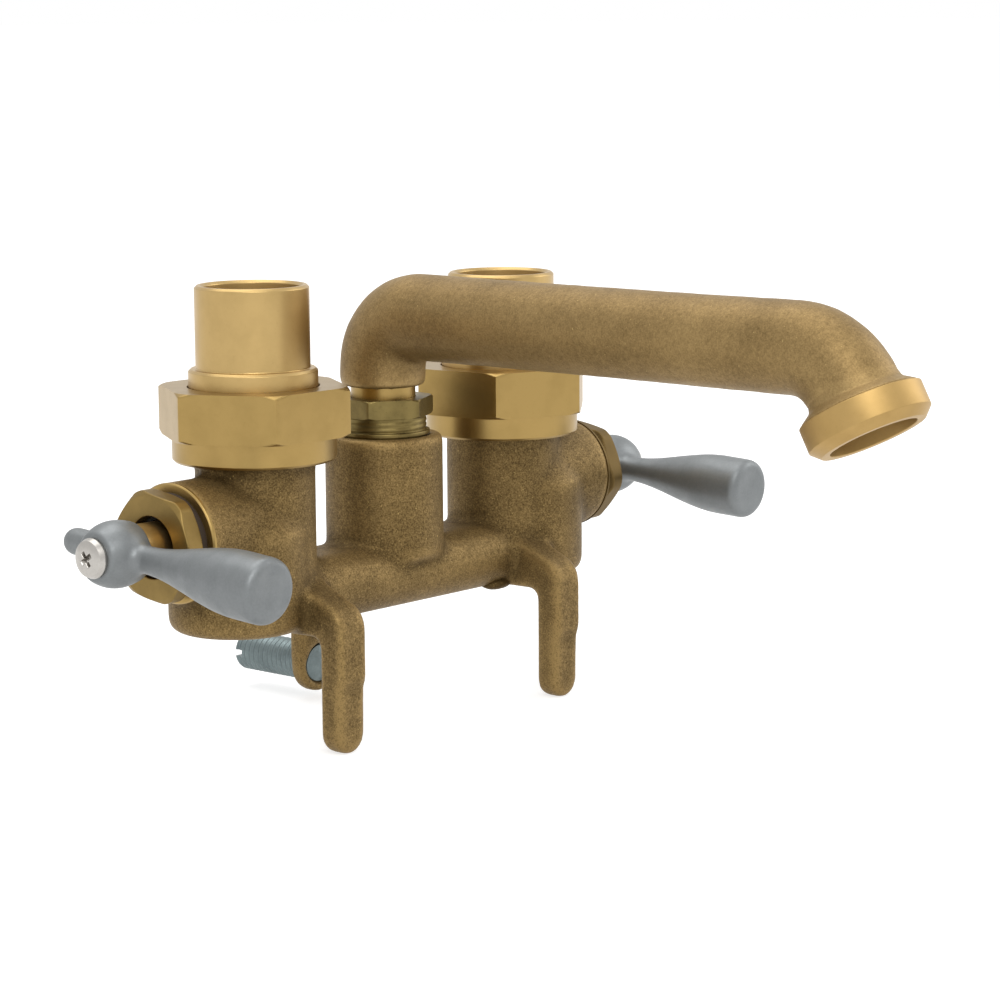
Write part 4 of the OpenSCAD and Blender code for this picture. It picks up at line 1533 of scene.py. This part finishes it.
@dataclass
class RimClamp:
    """The slotted clamp screw in the rear ear."""

    finishes: Finishes
    threads: ThreadTree
    thread: Thread = Thread(pitch=1.5875, depth=0.3, around=72, rings=256)
    slot_w: float = 1.6
    slot_h: float = 2.4

    def build(self) -> None:
        """Builds the threaded screw and cuts its slot."""
        low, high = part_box("clamp_screw")
        length = high.y - low.y
        radius = (high.z - low.z) / 2
        middle_y, axis_z = (high.y + low.y) / 2, (high.z + low.z) / 2
        screw = self.threads.rod("clamp_screw", radius, length, self.thread, self.finishes.zinc)
        screw.transform(Matrix.Rotation(math.radians(-90), 4, "X"))
        screw.transform(Matrix.Translation((0.0, middle_y, axis_z)))
        slot = primitive("slot", bmesh.ops.create_cube, size=1.0)
        slot.transform(Matrix.Diagonal((4 * radius, 2 * self.slot_h * MM, self.slot_w * MM, 1.0)))
        slot.transform(Matrix.Translation((0.0, high.y, axis_z)))
        mesh = shaded(carved(screw, slot), THREAD_SHARP_DEG)
        shown("clamp_screw_threaded", mesh, self.finishes.zinc, Body.CLAMP, "zinc", "clamp_screw")


@dataclass(frozen=True)
class Softbox:
    """A square lamp: its name, its place and side in metres, and its power in watts."""

    name: str
    place: Triple
    size: float
    power: float

    def hang(self) -> None:
        """Adds the lamp, looking at the middle of the faucet."""
        lamp = bpy.data.lights.new(self.name, "AREA")
        lamp.shape = "SQUARE"
        lamp.size = self.size
        lamp.energy = self.power
        holder = linked(self.name, lamp)
        holder.location = self.place
        middle = (CAD_BOX[0] + CAD_BOX[1]) / 2
        holder.rotation_euler = (middle - Vector(self.place)).to_track_quat("-Z", "Y").to_euler()


@dataclass
class Studio:
    """Pale floor, soft light and the camera of the photograph, in metres."""

    camera_at: Triple = (-0.530383, -0.496616, 0.140812)
    heading_deg: float = -49.054
    pitch_deg: float = 9.11
    roll_deg: float = -0.387
    lens_mm: float = 111.107
    sensor_mm: float = 36.0
    clip: Band = (0.01, 100.0)
    floor_r: float = 30.0
    floor_colour: float = 0.55
    floor_glow: float = 0.72
    ambient: float = 0.55
    lamps: tuple[Softbox, ...] = (
        Softbox("key", (-1.1, -1.3, 1.5), 1.3, 20.5),
        Softbox("fill", (1.6, -0.9, 0.9), 1.4, 12.0),
        Softbox("top", (0.1, 0.5, 1.9), 1.6, 16.0),
    )

    def build(self) -> None:
        """Builds the floor, the light and the camera."""
        bpy.context.scene.view_settings.view_transform = "Standard"
        self._floor()
        self._world()
        for lamp in self.lamps:
            lamp.hang()
        self._camera()

    @staticmethod
    def _seen(graph: Graph) -> Wire:
        """Tells what is seen from what only lights.

        Args:
            graph: The graph that needs it.

        Returns:
            1 for what the camera sees, also in metal or glass, and 0 for plain light.
        """
        kinds = ("Camera", "Glossy", "Transmission")
        seen, *others = [graph.node("ShaderNodeLightPath", output=f"Is {kind} Ray") for kind in kinds]
        for other in others:
            seen = seen.largest(other)
        return seen

    def _floor(self) -> None:
        """Large round floor at the tips of the legs, white to the camera but for the shadow."""
        disc = bmesh.ops.create_circle
        mesh = primitive("floor", disc, cap_ends=True, radius=self.floor_r, segments=64)
        mesh.transform(Matrix.Translation((0.0, 0.0, CAD_BOX[0].z)))
        material, graph, _ = surface_graph("pale_floor")
        colour = (*(self.floor_colour,) * 3, 1.0)
        paint = graph.node("ShaderNodeBsdfDiffuse", None, {"Color": colour})
        strength = self._seen(graph) * self.floor_glow
        glow = graph.node("ShaderNodeEmission", None, {"Strength": strength})
        both = graph.node("ShaderNodeAddShader", None, {0: paint, 1: glow})
        graph.node("ShaderNodeOutputMaterial", None, {"Surface": both})
        mesh.materials.append(material)
        linked("floor", mesh)

    def _world(self) -> None:
        """Even light all round, white where the camera or a reflection sees it."""
        world = bpy.data.worlds.new("studio")
        world.use_nodes = True
        world.node_tree.nodes.clear()
        graph = Graph(world.node_tree)
        strength = self.ambient + (1 - self.ambient) * self._seen(graph)
        sockets = {"Color": (1.0, 1.0, 1.0, 1.0), "Strength": strength}
        light = graph.node("ShaderNodeBackground", None, sockets)
        graph.node("ShaderNodeOutputWorld", None, {"Surface": light})
        bpy.context.scene.world = world

    def _camera(self) -> None:
        """Puts the camera where the photograph was taken."""
        lens = bpy.data.cameras.new("camera")
        lens.lens = self.lens_mm
        lens.sensor_width = self.sensor_mm
        lens.clip_start, lens.clip_end = self.clip
        camera = linked("camera", lens)
        camera.location = self.camera_at
        turn = Matrix.Rotation(math.radians(self.heading_deg), 4, "Z")
        tilt = Matrix.Rotation(math.radians(90 - self.pitch_deg), 4, "X")
        roll = Matrix.Rotation(math.radians(self.roll_deg), 4, "Z")
        camera.rotation_euler = (turn @ tilt @ roll).to_euler()
        bpy.context.scene.camera = camera


def main() -> None:
    """Builds the faucet piece by piece, then the studio round it."""
    logging.basicConfig(level=logging.INFO, format="%(name)s: %(message)s")
    finishes, grain, threads = Finishes(), GrainTree(), ThreadTree()
    BodyCasting(finishes, grain).build()
    for side in Side:
        UnionInlet(side, finishes).build()
        Valve(side, finishes, grain).build()
    Spout(finishes, grain, threads).build()
    RimClamp(finishes, threads).build()
    Studio().build()


if __name__ == "__main__":
    main()
